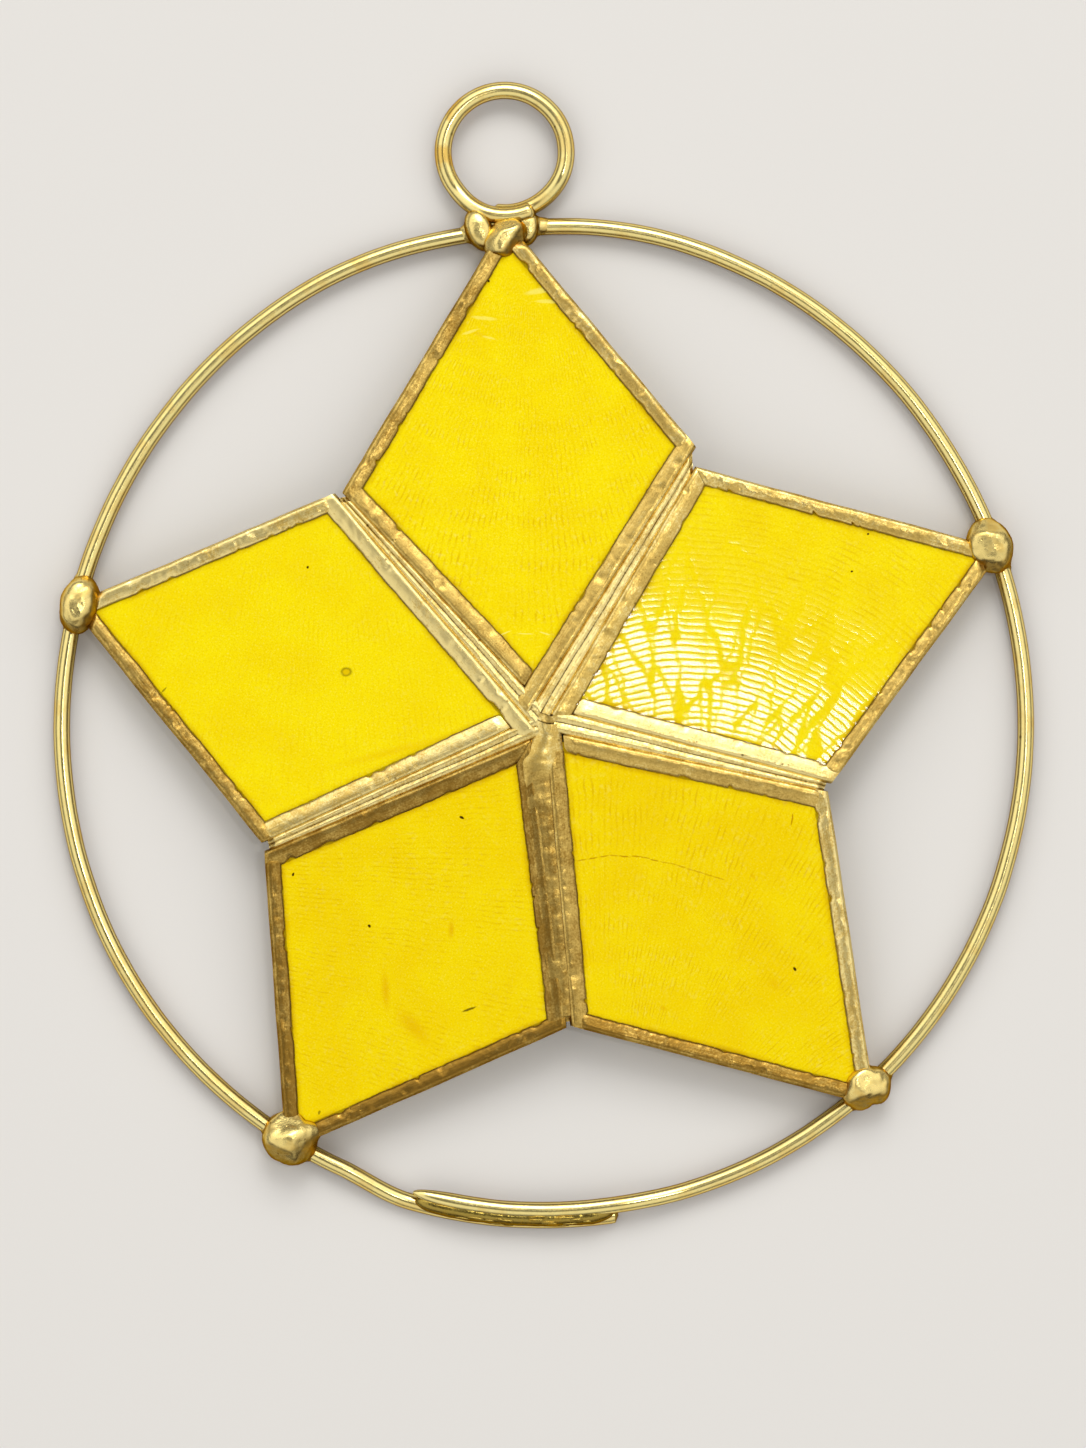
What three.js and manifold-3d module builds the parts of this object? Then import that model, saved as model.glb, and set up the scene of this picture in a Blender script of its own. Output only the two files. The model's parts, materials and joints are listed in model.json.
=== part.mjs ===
// Capiz star ornament: five shell panes edged in folded brass strip and soldered into a shallow star
// that lies on a wire ring, with a wire hanging loop. It lies on its back, +Z up, loop towards +Y.
import * as THREE from 'three';
import { mergeVertices } from 'three/addons/utils/BufferGeometryUtils.js';
import Module from 'manifold-3d';

const wasm = await Module();
wasm.setup();

// Wire ring, in millimetres and degrees as everything below
const RING_RADIUS = 46.7; // mean, to the wire's centre line
const RING_WIRE = 1.55; // wire diameter
const RING_OVAL = 0.6; // the hand-bent ring is this much longer along one axis and shorter across it
const RING_PEAR = 0.2; // and this much fuller towards one end of that axis
const RING_LONG_AXIS = 82; // direction of that axis
const RING_DIP = { turn: 92, spread: 13, depth: 0.5 }; // pressed in a little under the hanging loop
const RING_LIFT = 0.55; // solder under the wire
// The wire's two ends lie against each other for a stretch: the first on the inner side, the last on the
// outer side, each moved by these distances and heights
const RING_LAP = {
  start: 250, end: 274, blend: 9,
  inner: 0.35, innerRise: 0.5,
  outer: 0.9, outerRise: -0.52,
};

// Hanging loop, bent from a short wire and laid on the ring
const LOOP_CENTRE = [0.5, 54.3];
const LOOP_RADIUS = 5.9;
const LOOP_WIRE = 1.6;
const LOOP_LAP = {
  start: -106, end: -68, blend: 45,
  inner: 0.15, innerRise: -0.82,
  outer: 0.3, outerRise: 0.82,
};
const LOOP_OVER_RING = 0.38; // height of the loop's centre line above the ring's

// Star
const STAR_RISE = 3.0; // the middle stands this much higher than the tips
const STAR_REACH = 46.5; // from the middle to a tip
const SEAM_LENGTH = 28.7; // from the middle to a notch between two panes
const STAR_OVER_RING = 0.15; // clearance where the tips lie on the wire

// Edge binding: a thin strip folded to a channel, and the shell pane that it holds
const BINDING_DEPTH = 1.8;
const SHEET = 0.3;
const FOLD_RADIUS = 0.45;
const OUTER_FLANGE = 1.5; // face width on the star's outer edges
const SEAM_FLANGE = 1.75; // face width along the seams
const PANE_THICKNESS = 0.8;
const PANE_PLAY = 0.25; // play of the pane's edge in the channel
const STRIP_JOINT = 0.25; // gap where the ends of a strip meet
const CORNER_CUT = { tip: 2.7, ccw: 1.4, root: 1.1, cw: 1.4 }; // how far back each corner starts to round

// Solder
const SOLDER_GAP = 0.08; // clearance of the solder to the metal that it holds
const SEAM_WIDTH = 2.4;
const SEAM_OVERRUN = 1.2; // the fill starts this much nearer the middle than the panes' inner corners
const SEAM_RECESS = 0.45; // the groove's fill lies this much below the flanges
const SEAM_RECESS_BOTTOM = 0.12; // the lowest seam is filled nearly flush
// The ring's lap is filled by a bead in the groove between the wire's two ends, clear of both
const LAP_FILL = { start: 251.5, end: 272.5, out: 0.88, up: 0.735, width: 0.8 };

// Finish of the pieces
const SHELL_YELLOW = { color: 0xf6da06, roughness: 0.22, metalness: 0.0 };
const STRIP_BRASS = { color: 0xb99a55, roughness: 0.42, metalness: 0.9 };
const WIRE_GOLD = { color: 0xc9a63c, roughness: 0.25, metalness: 1.0 };
const SOLDER_GOLD = { color: 0xbf9c42, roughness: 0.33, metalness: 1.0 };

// Smoothness of the round stretches
const WIRE_SIDES = 10;
const RING_STEPS = 100;
const LOOP_STEPS = 48;
const LAP_STEPS = 14;
const CORNER_STEPS = 3;
const FOLD_STEPS = 2;
const BEAD_AROUND = 18;
const BEAD_RINGS = 10;

// Hand-cut panes: the visible opening's corners as [along, across] the pane's own axis from the middle of
// the star, then where the strip's ends meet, and the beads of solder that hold the tip:
// [along, across] and size [along, across, high].
const PANES = [
  {
    name: 'top', axis: 90, ends: 'ccw',
    opening: { tip: [45.2, -0.1], ccw: [23.2, 15.4], root: [4.6, 0.6], cw: [24.9, -14.4] },
    beads: [{ at: [46.15, -0.6], height: 2.5, size: [2.5, 3.1, 3.9] }],
  },
  {
    name: 'left', axis: 162, ends: 'ccw',
    opening: { tip: [44.0, 0.0], ccw: [23.5, 15.6], root: [4.2, 0.5], cw: [24.6, -14.2] },
    beads: [{ at: [45.6, -0.3], height: 2.1, size: [3.4, 4.8, 5.0] }],
  },
  {
    name: 'lower_left', axis: 234, ends: 'tip',
    opening: { tip: [45.4, 0.5], ccw: [24.1, 15.1], root: [5.0, 0.0], cw: [24.8, -14.1] },
    beads: [{ at: [46.6, 0.2], height: 2.2, size: [5.3, 5.3, 5.4] }],
  },
  {
    name: 'lower_right', axis: 306, ends: 'root',
    opening: { tip: [45.8, 0.0], ccw: [23.0, 14.1], root: [3.6, -0.6], cw: [24.0, -15.0] },
    beads: [
      { at: [46.1, 0.3], height: 2.1, size: [4.0, 4.0, 5.0] },
      { at: [47.3, 1.7], height: 1.9, size: [2.6, 3.0, 4.2] },
    ],
  },
  {
    name: 'right', axis: 18, ends: 'tip',
    opening: { tip: [43.9, -1.6], ccw: [22.6, 14.6], root: [4.0, 0.5], cw: [23.2, -14.1] },
    beads: [{ at: [45.6, -0.9], height: 2.1, size: [4.2, 5.6, 5.0] }],
  },
];

// Solder on both sides of the loop's foot: [x, y, z] and size
const LOOP_SOLDER = [
  { name: 'loop_solder_left', at: [-2.6, 47.7, 2.0], size: [2.5, 3.0, 3.0] },
  { name: 'loop_solder_right', at: [3.5, 47.8, 2.0], size: [1.9, 3.0, 3.0] },
];

// Derived heights and slopes
const RING_HEIGHT = RING_LIFT + RING_WIRE / 2;
const LOOP_HEIGHT = RING_HEIGHT + LOOP_OVER_RING;
const TIP_HEIGHT = RING_HEIGHT + RING_WIRE / 2 + STAR_OVER_RING + BINDING_DEPTH / 2;
const STAR_HEIGHT = TIP_HEIGHT + STAR_RISE;
const PANE_SLOPE = Math.atan(STAR_RISE / STAR_REACH);
const SEAM_SLOPE = Math.atan(STAR_RISE / 2 / SEAM_LENGTH);
const CORNERS = ['tip', 'ccw', 'root', 'cw'];
const SIDE_IS_OUTER = [true, false, false, true]; // the side that follows each corner
const FULL_TURN = 360;
const HALF_TURN = FULL_TURN / 2;
const MIDWAY = 0.5;
const SMALL = 1e-4;
const REACH_BELOW = 10; // thickness of the block that trims the beads flat

// Solids for cutting and joining

function toSolid(geometry, matrix = new THREE.Matrix4()) {
  const plain = geometry.clone().applyMatrix4(matrix);
  plain.deleteAttribute('normal');
  plain.deleteAttribute('uv');
  const merged = mergeVertices(plain, SMALL);
  return new wasm.Manifold(new wasm.Mesh({
    numProp: 3,
    vertProperties: new Float32Array(merged.attributes.position.array),
    triVerts: new Uint32Array(merged.index.array),
  }));
}

function toGeometry(solid) {
  const mesh = solid.getMesh();
  const geometry = new THREE.BufferGeometry();
  geometry.setAttribute('position', new THREE.BufferAttribute(mesh.vertProperties, 3));
  geometry.setIndex(new THREE.BufferAttribute(mesh.triVerts, 1));
  geometry.computeVertexNormals();
  return geometry;
}

function piece(name, geometry, finish) {
  const mesh = new THREE.Mesh(geometry, new THREE.MeshStandardMaterial(finish));
  mesh.name = name;
  return mesh;
}

// Wire bent round a centre, with its two ends lying side by side for a stretch

class LappedCircle extends THREE.Curve {
  constructor(centre, height, radiusAt, lap) {
    super();
    Object.assign(this, { centre, height, radiusAt, lap });
  }

  getPoint(t, target = new THREE.Vector3()) {
    const { start, end, blend, inner, innerRise, outer, outerRise } = this.lap;
    const turn = start + t * (FULL_TURN + end - start);
    const first = 1 - THREE.MathUtils.smoothstep(turn, end, end + blend);
    const last = THREE.MathUtils.smoothstep(turn, start + FULL_TURN - blend, start + FULL_TURN);
    const radius = this.radiusAt(turn) - inner * first + outer * last;
    const height = this.height + innerRise * first + outerRise * last;
    const angle = THREE.MathUtils.degToRad(turn);
    const [x, y] = this.centre;
    return target.set(x + radius * Math.cos(angle), y + radius * Math.sin(angle), height);
  }
}

function ringRadius(turn) {
  const angle = THREE.MathUtils.degToRad(turn - RING_LONG_AXIS);
  const fromDip = THREE.MathUtils.euclideanModulo(turn - RING_DIP.turn + HALF_TURN, FULL_TURN) - HALF_TURN;
  const dip = RING_DIP.depth * Math.exp(-((fromDip / RING_DIP.spread) ** 2));
  return RING_RADIUS + RING_OVAL * Math.cos(2 * angle) + RING_PEAR * Math.cos(3 * angle) - dip;
}

function roundSection(radius) {
  // A many-sided section whose corners lie on the round wire
  const points = [];
  for (let side = 0; side < WIRE_SIDES; side += 1) {
    const angle = (side / WIRE_SIDES) * 2 * Math.PI;
    points.push(new THREE.Vector2(radius * Math.cos(angle), radius * Math.sin(angle)));
  }
  return new THREE.Shape(points);
}

function alongCurve(shape, curve, steps) {
  return new THREE.ExtrudeGeometry(shape, { steps, extrudePath: curve, bevelEnabled: false });
}

const ringCurve = new LappedCircle([0, 0], RING_HEIGHT, ringRadius, RING_LAP);
const loopCurve = new LappedCircle(LOOP_CENTRE, LOOP_HEIGHT, () => LOOP_RADIUS, LOOP_LAP);

function ringWire(growth = 0) {
  return alongCurve(roundSection(RING_WIRE / 2 + growth), ringCurve, RING_STEPS);
}

function loopWire(growth = 0) {
  return alongCurve(roundSection(LOOP_WIRE / 2 + growth), loopCurve, LOOP_STEPS);
}

// Four-cornered outlines of a pane and its binding

function cornerPoints(opening) {
  return CORNERS.map((corner) => new THREE.Vector2(...opening[corner]));
}

function movedOut(points, outerMargin, seamMargin) {
  const sides = points.map((point, index) => {
    const next = points[(index + 1) % points.length];
    const run = next.clone().sub(point).normalize();
    const outward = new THREE.Vector2(run.y, -run.x);
    const margin = SIDE_IS_OUTER[index] ? outerMargin : seamMargin;
    return { from: point.clone().addScaledVector(outward, margin), run };
  });
  return sides.map((side, index) => {
    const before = sides[(index + sides.length - 1) % sides.length];
    const across = before.run.cross(side.run);
    const distance = side.from.clone().sub(before.from).cross(side.run) / across;
    return before.from.clone().addScaledVector(before.run, distance);
  });
}

function roundedShape(points) {
  const shape = new THREE.Shape();
  points.forEach((point, index) => {
    const before = points[(index + points.length - 1) % points.length];
    const after = points[(index + 1) % points.length];
    const cut = CORNER_CUT[CORNERS[index]];
    const enter = before.clone().sub(point).setLength(cut).add(point);
    const leave = after.clone().sub(point).setLength(cut).add(point);
    if (index === 0) {
      shape.moveTo(enter.x, enter.y);
    } else {
      shape.lineTo(enter.x, enter.y);
    }
    shape.quadraticCurveTo(point.x, point.y, leave.x, leave.y);
  });
  shape.closePath();
  return shape;
}

function slab(shape, thickness) {
  const plate = new THREE.ExtrudeGeometry(shape, {
    depth: thickness,
    curveSegments: CORNER_STEPS,
    bevelEnabled: false,
  });
  return plate.translate(0, 0, -thickness / 2);
}

function foldedBlock(opening, growth) {
  const points = movedOut(cornerPoints(opening), OUTER_FLANGE + growth, SEAM_FLANGE + growth);
  const straight = BINDING_DEPTH + 2 * growth - 2 * FOLD_RADIUS;
  const block = new THREE.ExtrudeGeometry(roundedShape(points), {
    depth: straight,
    curveSegments: CORNER_STEPS,
    bevelSize: FOLD_RADIUS,
    bevelThickness: FOLD_RADIUS,
    bevelOffset: -FOLD_RADIUS,
    bevelSegments: FOLD_STEPS,
  });
  return block.translate(0, 0, -straight / 2);
}

function paneShape(opening, play) {
  const points = movedOut(cornerPoints(opening), OUTER_FLANGE - SHEET - play, SEAM_FLANGE - SHEET - play);
  return roundedShape(points);
}

function stripJoint(pane) {
  // A saw cut across the leg just before the corner where the strip's ends meet
  const points = cornerPoints(pane.opening);
  const index = CORNERS.indexOf(pane.ends);
  const run = points[index].clone().sub(points[(index + points.length - 1) % points.length]).normalize();
  const middle = points[index].clone().addScaledVector(run, -OUTER_FLANGE / 2);
  const outward = new THREE.Vector2(run.y, -run.x);
  middle.addScaledVector(outward, SEAM_FLANGE);
  const acrossTheLeg = 3 * SEAM_FLANGE;
  const cut = new THREE.BoxGeometry(STRIP_JOINT, acrossTheLeg, 2 * BINDING_DEPTH);
  cut.rotateZ(Math.atan2(run.y, run.x));
  return cut.translate(middle.x, middle.y, 0);
}

function bindingGeometry(pane) {
  const channel = slab(paneShape(pane.opening, 0), BINDING_DEPTH - 2 * SHEET);
  const window = slab(new THREE.Shape(cornerPoints(pane.opening)), 2 * BINDING_DEPTH);
  return toGeometry(toSolid(foldedBlock(pane.opening, 0))
    .subtract(toSolid(channel))
    .subtract(toSolid(window))
    .subtract(toSolid(stripJoint(pane))));
}

// Each pane lies with its binding in a group that turns it to its place and slopes it down to the tip

function paneGroup(pane) {
  const group = new THREE.Group();
  group.position.z = STAR_HEIGHT;
  group.rotation.order = 'ZYX';
  group.rotation.set(0, PANE_SLOPE, THREE.MathUtils.degToRad(pane.axis));
  const shell = slab(paneShape(pane.opening, PANE_PLAY), PANE_THICKNESS);
  group.add(piece(`pane_${pane.name}`, shell, SHELL_YELLOW));
  group.add(piece(`edge_binding_${pane.name}`, bindingGeometry(pane), STRIP_BRASS));
  group.updateMatrixWorld(true);
  return group;
}

function bindingClearance(pane, group) {
  return toSolid(foldedBlock(pane.opening, SOLDER_GAP), group.matrixWorld);
}

// Solder

function bead(at, size, turn) {
  const ball = new THREE.SphereGeometry(1, BEAD_AROUND, BEAD_RINGS);
  ball.rotateX(Math.PI / 2).scale(...size.map((width) => width / 2)).rotateZ(turn).translate(...at);
  return toSolid(ball);
}

function belowTable() {
  const width = 4 * RING_RADIUS; // wider than the whole ornament
  return toSolid(new THREE.BoxGeometry(width, width, REACH_BELOW).translate(0, 0, -REACH_BELOW / 2));
}

function planPoint(pane, corner) {
  const middleOfStar = new THREE.Vector2();
  const turn = THREE.MathUtils.degToRad(pane.axis);
  return new THREE.Vector2(...pane.opening[corner]).rotateAround(middleOfStar, turn);
}

function seamFill(pane, next, recess) {
  // A bar down the middle of the groove between two neighbouring panes
  const start = planPoint(pane, 'root').lerp(planPoint(next, 'root'), MIDWAY);
  const end = planPoint(pane, 'ccw').lerp(planPoint(next, 'cw'), MIDWAY);
  const run = end.clone().sub(start);
  const height = BINDING_DEPTH - SEAM_RECESS_BOTTOM - recess;
  const bar = new THREE.BoxGeometry(run.length() + SEAM_OVERRUN, SEAM_WIDTH, height);
  bar.translate((run.length() - SEAM_OVERRUN) / 2, 0, (SEAM_RECESS_BOTTOM - recess) / 2);
  bar.rotateY(SEAM_SLOPE).rotateZ(run.angle());
  return toSolid(bar.translate(start.x, start.y, STAR_HEIGHT - start.length() * Math.tan(SEAM_SLOPE)));
}

function tipBeads(pane) {
  const turn = THREE.MathUtils.degToRad(pane.axis);
  const lumps = pane.beads.map(({ at: [along, across], height, size }) => {
    const x = along * Math.cos(turn) - across * Math.sin(turn);
    const y = along * Math.sin(turn) + across * Math.cos(turn);
    return bead([x, y, height], size, turn);
  });
  return lumps.reduce((joined, lump) => joined.add(lump));
}

function lapFill() {
  const { start, end, out, up, width } = LAP_FILL;
  const arc = { start, end: end - FULL_TURN, blend: 1, inner: 0, innerRise: 0, outer: 0, outerRise: 0 };
  const curve = new LappedCircle([0, 0], RING_HEIGHT + up, (turn) => ringRadius(turn) + out, arc);
  return alongCurve(roundSection(width / 2), curve, LAP_STEPS);
}

// The whole ornament

const ornament = new THREE.Group();

const paneGroups = PANES.map(paneGroup);
const clearances = PANES.map((pane, index) => bindingClearance(pane, paneGroups[index]));
const ringClearance = toSolid(ringWire(SOLDER_GAP));
const loopClearance = toSolid(loopWire(SOLDER_GAP));
const table = belowTable();

ornament.add(...paneGroups);
ornament.add(piece('outer_ring', ringWire(), WIRE_GOLD));
ornament.add(piece('hanging_loop', loopWire(), WIRE_GOLD));
ornament.add(piece('ring_lap_solder', lapFill(), SOLDER_GOLD));

PANES.forEach((pane, index) => {
  const next = PANES[(index + 1) % PANES.length];
  const lowest = pane.name === 'lower_left';
  const fill = seamFill(pane, next, lowest ? SEAM_RECESS_BOTTOM : SEAM_RECESS)
    .subtract(clearances[index])
    .subtract(clearances[(index + 1) % PANES.length]);
  ornament.add(piece(`seam_solder_${pane.name}_${next.name}`, toGeometry(fill), SOLDER_GOLD));

  const lump = tipBeads(pane)
    .subtract(clearances[index])
    .subtract(ringClearance)
    .subtract(loopClearance)
    .subtract(table);
  ornament.add(piece(`tip_solder_${pane.name}`, toGeometry(lump), SOLDER_GOLD));
});

LOOP_SOLDER.forEach(({ name, at, size }) => {
  const lump = bead(at, size, 0)
    .subtract(ringClearance)
    .subtract(loopClearance)
    .subtract(clearances[0]);
  ornament.add(piece(name, toGeometry(lump), SOLDER_GOLD));
});

// The origin is under the middle of the ornament's box, on the surface that it lies on
const box = new THREE.Box3().setFromObject(ornament);
const middle = box.getCenter(new THREE.Vector3());
ornament.position.set(-middle.x, -middle.y, -box.min.z);
ornament.updateMatrixWorld(true);

export default ornament;
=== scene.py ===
# Capiz star ornament: the finished panes, edge strips, wires and solder, laid out as a Blender add-on.
import json
import math
import random
from typing import NamedTuple

import bmesh
import bpy
from mathutils import Euler, Matrix, Vector, noise


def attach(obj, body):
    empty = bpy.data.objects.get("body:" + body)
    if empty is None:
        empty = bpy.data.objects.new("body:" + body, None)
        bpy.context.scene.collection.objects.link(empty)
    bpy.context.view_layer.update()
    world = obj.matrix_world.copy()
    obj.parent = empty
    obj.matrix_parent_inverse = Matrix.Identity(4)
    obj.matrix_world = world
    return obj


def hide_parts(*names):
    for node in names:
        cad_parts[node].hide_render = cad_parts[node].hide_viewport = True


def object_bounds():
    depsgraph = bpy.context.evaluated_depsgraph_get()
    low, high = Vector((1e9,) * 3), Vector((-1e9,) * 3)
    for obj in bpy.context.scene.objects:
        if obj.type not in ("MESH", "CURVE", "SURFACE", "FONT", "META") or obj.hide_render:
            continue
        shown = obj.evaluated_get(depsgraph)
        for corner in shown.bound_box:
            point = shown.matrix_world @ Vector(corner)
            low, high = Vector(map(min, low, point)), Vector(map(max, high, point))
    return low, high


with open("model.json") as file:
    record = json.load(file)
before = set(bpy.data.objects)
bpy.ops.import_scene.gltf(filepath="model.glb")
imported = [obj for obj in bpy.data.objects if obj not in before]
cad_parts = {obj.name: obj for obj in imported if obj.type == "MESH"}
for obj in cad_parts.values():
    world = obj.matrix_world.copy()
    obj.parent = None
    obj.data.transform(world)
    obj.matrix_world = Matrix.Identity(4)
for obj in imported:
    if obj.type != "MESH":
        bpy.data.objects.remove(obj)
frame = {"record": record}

CAD_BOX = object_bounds()

bl_info = {
    "name": "Capiz Star Ornament",
    "version": (1, 0, 0),
    "blender": (4, 5, 0),
    "location": "3D View > Sidebar > Ornament",
    "description": "Makes a shell star in folded brass strip on a wire ring with a hanging loop",
    "category": "Object",
}

# Units and names

MM = 0.001
FULL_TURN = 2 * math.pi
BODY = "root"
CORNERS = ("tip", "ccw", "root", "cw")
LEG_IS_OUTER = (True, False, False, True)  # the leg that follows each corner

# The hanging eye's mount is the middle of the loop, which stands this far from the middle of the star
EYE = next(mount["pos_m"] for mount in frame["record"]["mounts"] if mount["name"] == "hanging_eye")
LOOP_FROM_STAR = (0.5 * MM, 54.3 * MM)
STAR_MIDDLE = (EYE[0] - LOOP_FROM_STAR[0], EYE[1] - LOOP_FROM_STAR[1], 0.0)


class Fleck(NamedTuple):
    """A mark in a pane: place, size and turn in its own plane, in millimetres and degrees."""

    along: float
    across: float
    length: float  # from its middle to its end
    width: float  # from its middle to its side
    turn: float = 0.0
    strength: float = 1.0
    colour: str = "shell_fleck"


CRACK_PLACES = (0.15, 0.5, 0.85)  # of the flecks between two points of a crack
CRACK_LENGTH = (0.16, 0.24)  # half the length of a fleck, as a share of the way between the points
CRACK_STRENGTH = (0.55, 1.0)
CRACK_FADE = 0.5  # how much fainter a crack gets towards its end
CRACK_STRAY = 0.08
CRACK_WIDTH = 0.08


def crack(points, seed):
    """Flecks along a fine crack through the points, in a pane's own millimetres."""
    maker = random.Random(seed)
    flecks = []
    for start, end in zip(points, points[1:]):
        run = Vector(end) - Vector(start)
        turn = math.degrees(math.atan2(run.y, run.x))
        for share in CRACK_PLACES:
            spot = Vector(start) + run * share
            size = run.length * maker.uniform(*CRACK_LENGTH)
            fade = 1 - CRACK_FADE * len(flecks) / (len(CRACK_PLACES) * len(points))
            strength = maker.uniform(*CRACK_STRENGTH) * fade
            across = spot.y + maker.uniform(-CRACK_STRAY, CRACK_STRAY)
            flecks.append(Fleck(spot.x, across, size, CRACK_WIDTH, turn, strength, "shell_amber"))
    return flecks


class Pane(NamedTuple):
    """One hand-cut pane: its opening, the way that its strip was folded and its shell's growth."""

    name: str
    axis: float  # direction of the tip, in degrees
    corners: tuple  # tip, ccw, root and cw corner of the opening, as (along, across) in millimetres
    on_top: tuple  # at each corner, the leg whose end lies on top: before, after, or both meet in a mitre
    root_reach: float  # how far the upper leg runs at the root, in widths of the leg below it
    crowns: tuple  # how round each leg is pressed, from 0 to 1
    tarnish: tuple  # how brown each leg is, from 0 to 1: its tarnish together with painted light and shade for how the leg faces the light
    dye: float  # how deep the dye is, from 0 to 1
    umbo: tuple  # the point that the shell's growth lines fan out from, in millimetres
    arcs: float  # 1 where the fine lines run round that point, 0 where they run out from it
    spacing: float  # of the fine lines, in millimetres
    line_height: float  # of the ridges between them, in millimetres
    line_strength: float  # how dark the fine lines are, from 0 to 1
    dash: float  # length of their dashes, in millimetres
    row: float  # spacing of the rows that the dashes stand in, in millimetres
    glint: float  # how bright the painted glints on its short ridges are, from 0 to 1
    matte: float  # how much rougher the furrows between its polished cells are
    flecks: tuple


PANES = (
    Pane(
        name="top", axis=90, corners=((45.2, -0.1), (23.2, 15.4), (4.6, 0.6), (24.9, -14.4)),
        on_top=("mitre", "before", "after", "before"), root_reach=1.8,
        crowns=(0.25, 0.35, 0.3, 0.2), tarnish=(0.62, 0.51, 0.42, 0.29),
        dye=0.2,
        umbo=(50.0, -3.0), arcs=0.0, spacing=0.43, line_height=0.0015, line_strength=0.75,
        dash=1.2, row=2.2, glint=0.3, matte=0.1,
        flecks=(
            Fleck(42.0, 2.0, 0.16, 0.13),
            Fleck(40.7, -2.9, 1.7, 0.3, 96, 0.55, "shell_glint_and_scratch"),
            Fleck(39.6, -3.5, 1.3, 0.2, 84, 0.5, "shell_glint_and_scratch"),
            Fleck(38.5, 2.7, 1.3, 0.2, 80, 0.5, "shell_glint_and_scratch"),
            Fleck(37.3, 4.1, 0.9, 0.14, 104, 0.5, "shell_glint_and_scratch"),
            Fleck(36.6, 2.4, 0.7, 0.12, 72, 0.45, "shell_glint_and_scratch"),
            Fleck(37.0, 3.3, 0.6, 0.2, 70, 0.35, "shell_stain"),
            Fleck(8.4, 3.1, 0.7, 0.07, 108, 0.7, "shell_glint_and_scratch"),
            Fleck(8.2, 1.1, 0.8, 0.06, 84, 0.7, "shell_glint_and_scratch"),
            Fleck(8.1, -0.7, 0.6, 0.08, 70, 0.7, "shell_glint_and_scratch"),
        ),
    ),
    Pane(
        name="left", axis=162, corners=((44.0, 0.0), (23.5, 15.6), (4.2, 0.5), (24.6, -14.2)),
        on_top=("mitre", "before", "after", "before"), root_reach=1.6,
        crowns=(0.3, 0.6, 0.35, 0.3), tarnish=(0.66, 0.18, 0.0, 0.13),
        dye=0.15,
        umbo=(34.0, -53.0), arcs=0.0, spacing=0.5, line_height=0.002, line_strength=0.3,
        dash=3.2, row=5.0, glint=0.12, matte=0.1,
        flecks=(
            Fleck(19.3, 0.0, 0.6, 0.48, 20, 0.7),
            Fleck(19.3, 0.02, 0.42, 0.32, 20, 0.85, "shell_deep"),
            Fleck(25.2, -8.8, 0.15, 0.15),
            Fleck(35.8, 5.7, 0.4, 0.1, 60, 0.6),
            Fleck(13.2, 6.3, 5.0, 0.4, 28, 0.35, "shell_stain"),
        ),
    ),
    Pane(
        name="lower_left", axis=234, corners=((45.4, 0.5), (24.1, 15.1), (5.0, 0.0), (24.8, -14.1)),
        on_top=("mitre", "before", "mitre", "before"), root_reach=1.0,
        crowns=(0.5, 0.3, 0.95, 0.45), tarnish=(0.95, 0.78, 0.78, 0.83),
        dye=0.5,
        umbo=(52.0, -61.0), arcs=0.0, spacing=0.5, line_height=0.002, line_strength=0.62,
        dash=0.9, row=1.7, glint=0.16, matte=0.1,
        flecks=(
            Fleck(12.0, -1.8, 0.28, 0.14, 100),
            Fleck(25.4, -3.9, 0.2, 0.14, 60),
            Fleck(21.6, 2.9, 0.7, 0.25, 30, 0.8, "shell_stain"),
            Fleck(27.2, 8.3, 0.8, 0.13, 140, 0.8),
            Fleck(29.8, 0.6, 1.5, 0.35, 35, 0.7, "shell_stain"),
            Fleck(31.4, 4.7, 1.9, 0.7, 75, 0.6, "shell_stain"),
            Fleck(25.0, -12.6, 0.2, 0.12),
            Fleck(43.1, 1.3, 0.22, 0.14, 20, 0.6),
            Fleck(37.8, 5.8, 0.15, 0.12),
        ),
    ),
    Pane(
        name="lower_right", axis=306, corners=((45.8, 0.0), (23.0, 14.1), (3.6, -0.6), (24.0, -15.0)),
        on_top=("mitre", "before", "after", "before"), root_reach=0.1,
        crowns=(0.5, 0.95, 0.8, 0.5), tarnish=(0.16, 0.38, 0.56, 0.84),
        dye=0.56,
        umbo=(38.7, -25.4), arcs=0.0, spacing=0.45, line_height=0.002, line_strength=0.75,
        dash=1.6, row=2.6, glint=0.2, matte=0.1,
        flecks=(
            *crack(((12.2, -6.4), (13.8, -3.6), (15.8, -1.6), (18.1, 0.2), (20.1, 1.5), (22.6, 3.1)), 7),
            Fleck(22.5, 11.7, 0.7, 0.09, -50, 0.8, "shell_amber"),
            Fleck(28.2, -9.2, 0.35, 0.2, 30, 0.6, "shell_stain"),
            Fleck(24.2, 5.4, 0.3, 0.16, 0, 0.6, "shell_stain"),
            Fleck(33.5, 2.7, 0.25, 0.16),
            Fleck(39.3, -4.5, 0.3, 0.14, 40, 0.6, "shell_amber"),
            Fleck(33.3, 0.3, 0.6, 0.4, 0, 0.4, "shell_stain"),
        ),
    ),
    Pane(
        name="right", axis=18, corners=((43.9, -1.6), (22.6, 14.6), (4.0, 0.5), (23.2, -14.1)),
        on_top=("mitre", "mitre", "before", "before"), root_reach=1.25,
        crowns=(0.3, 0.25, 0.6, 0.35), tarnish=(0.35, 0.34, 0.07, 0.49),
        dye=0.25,
        umbo=(6.0, -21.1), arcs=1.0, spacing=0.62, line_height=0.0012, line_strength=0.5,
        dash=1.6, row=3.6, glint=0.14, matte=0.5,
        flecks=(
            Fleck(35.2, 4.5, 0.14, 0.12),
            Fleck(32.4, 1.8, 0.14, 0.12),
        ),
    ),
)


# Settings that a user would change

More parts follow.
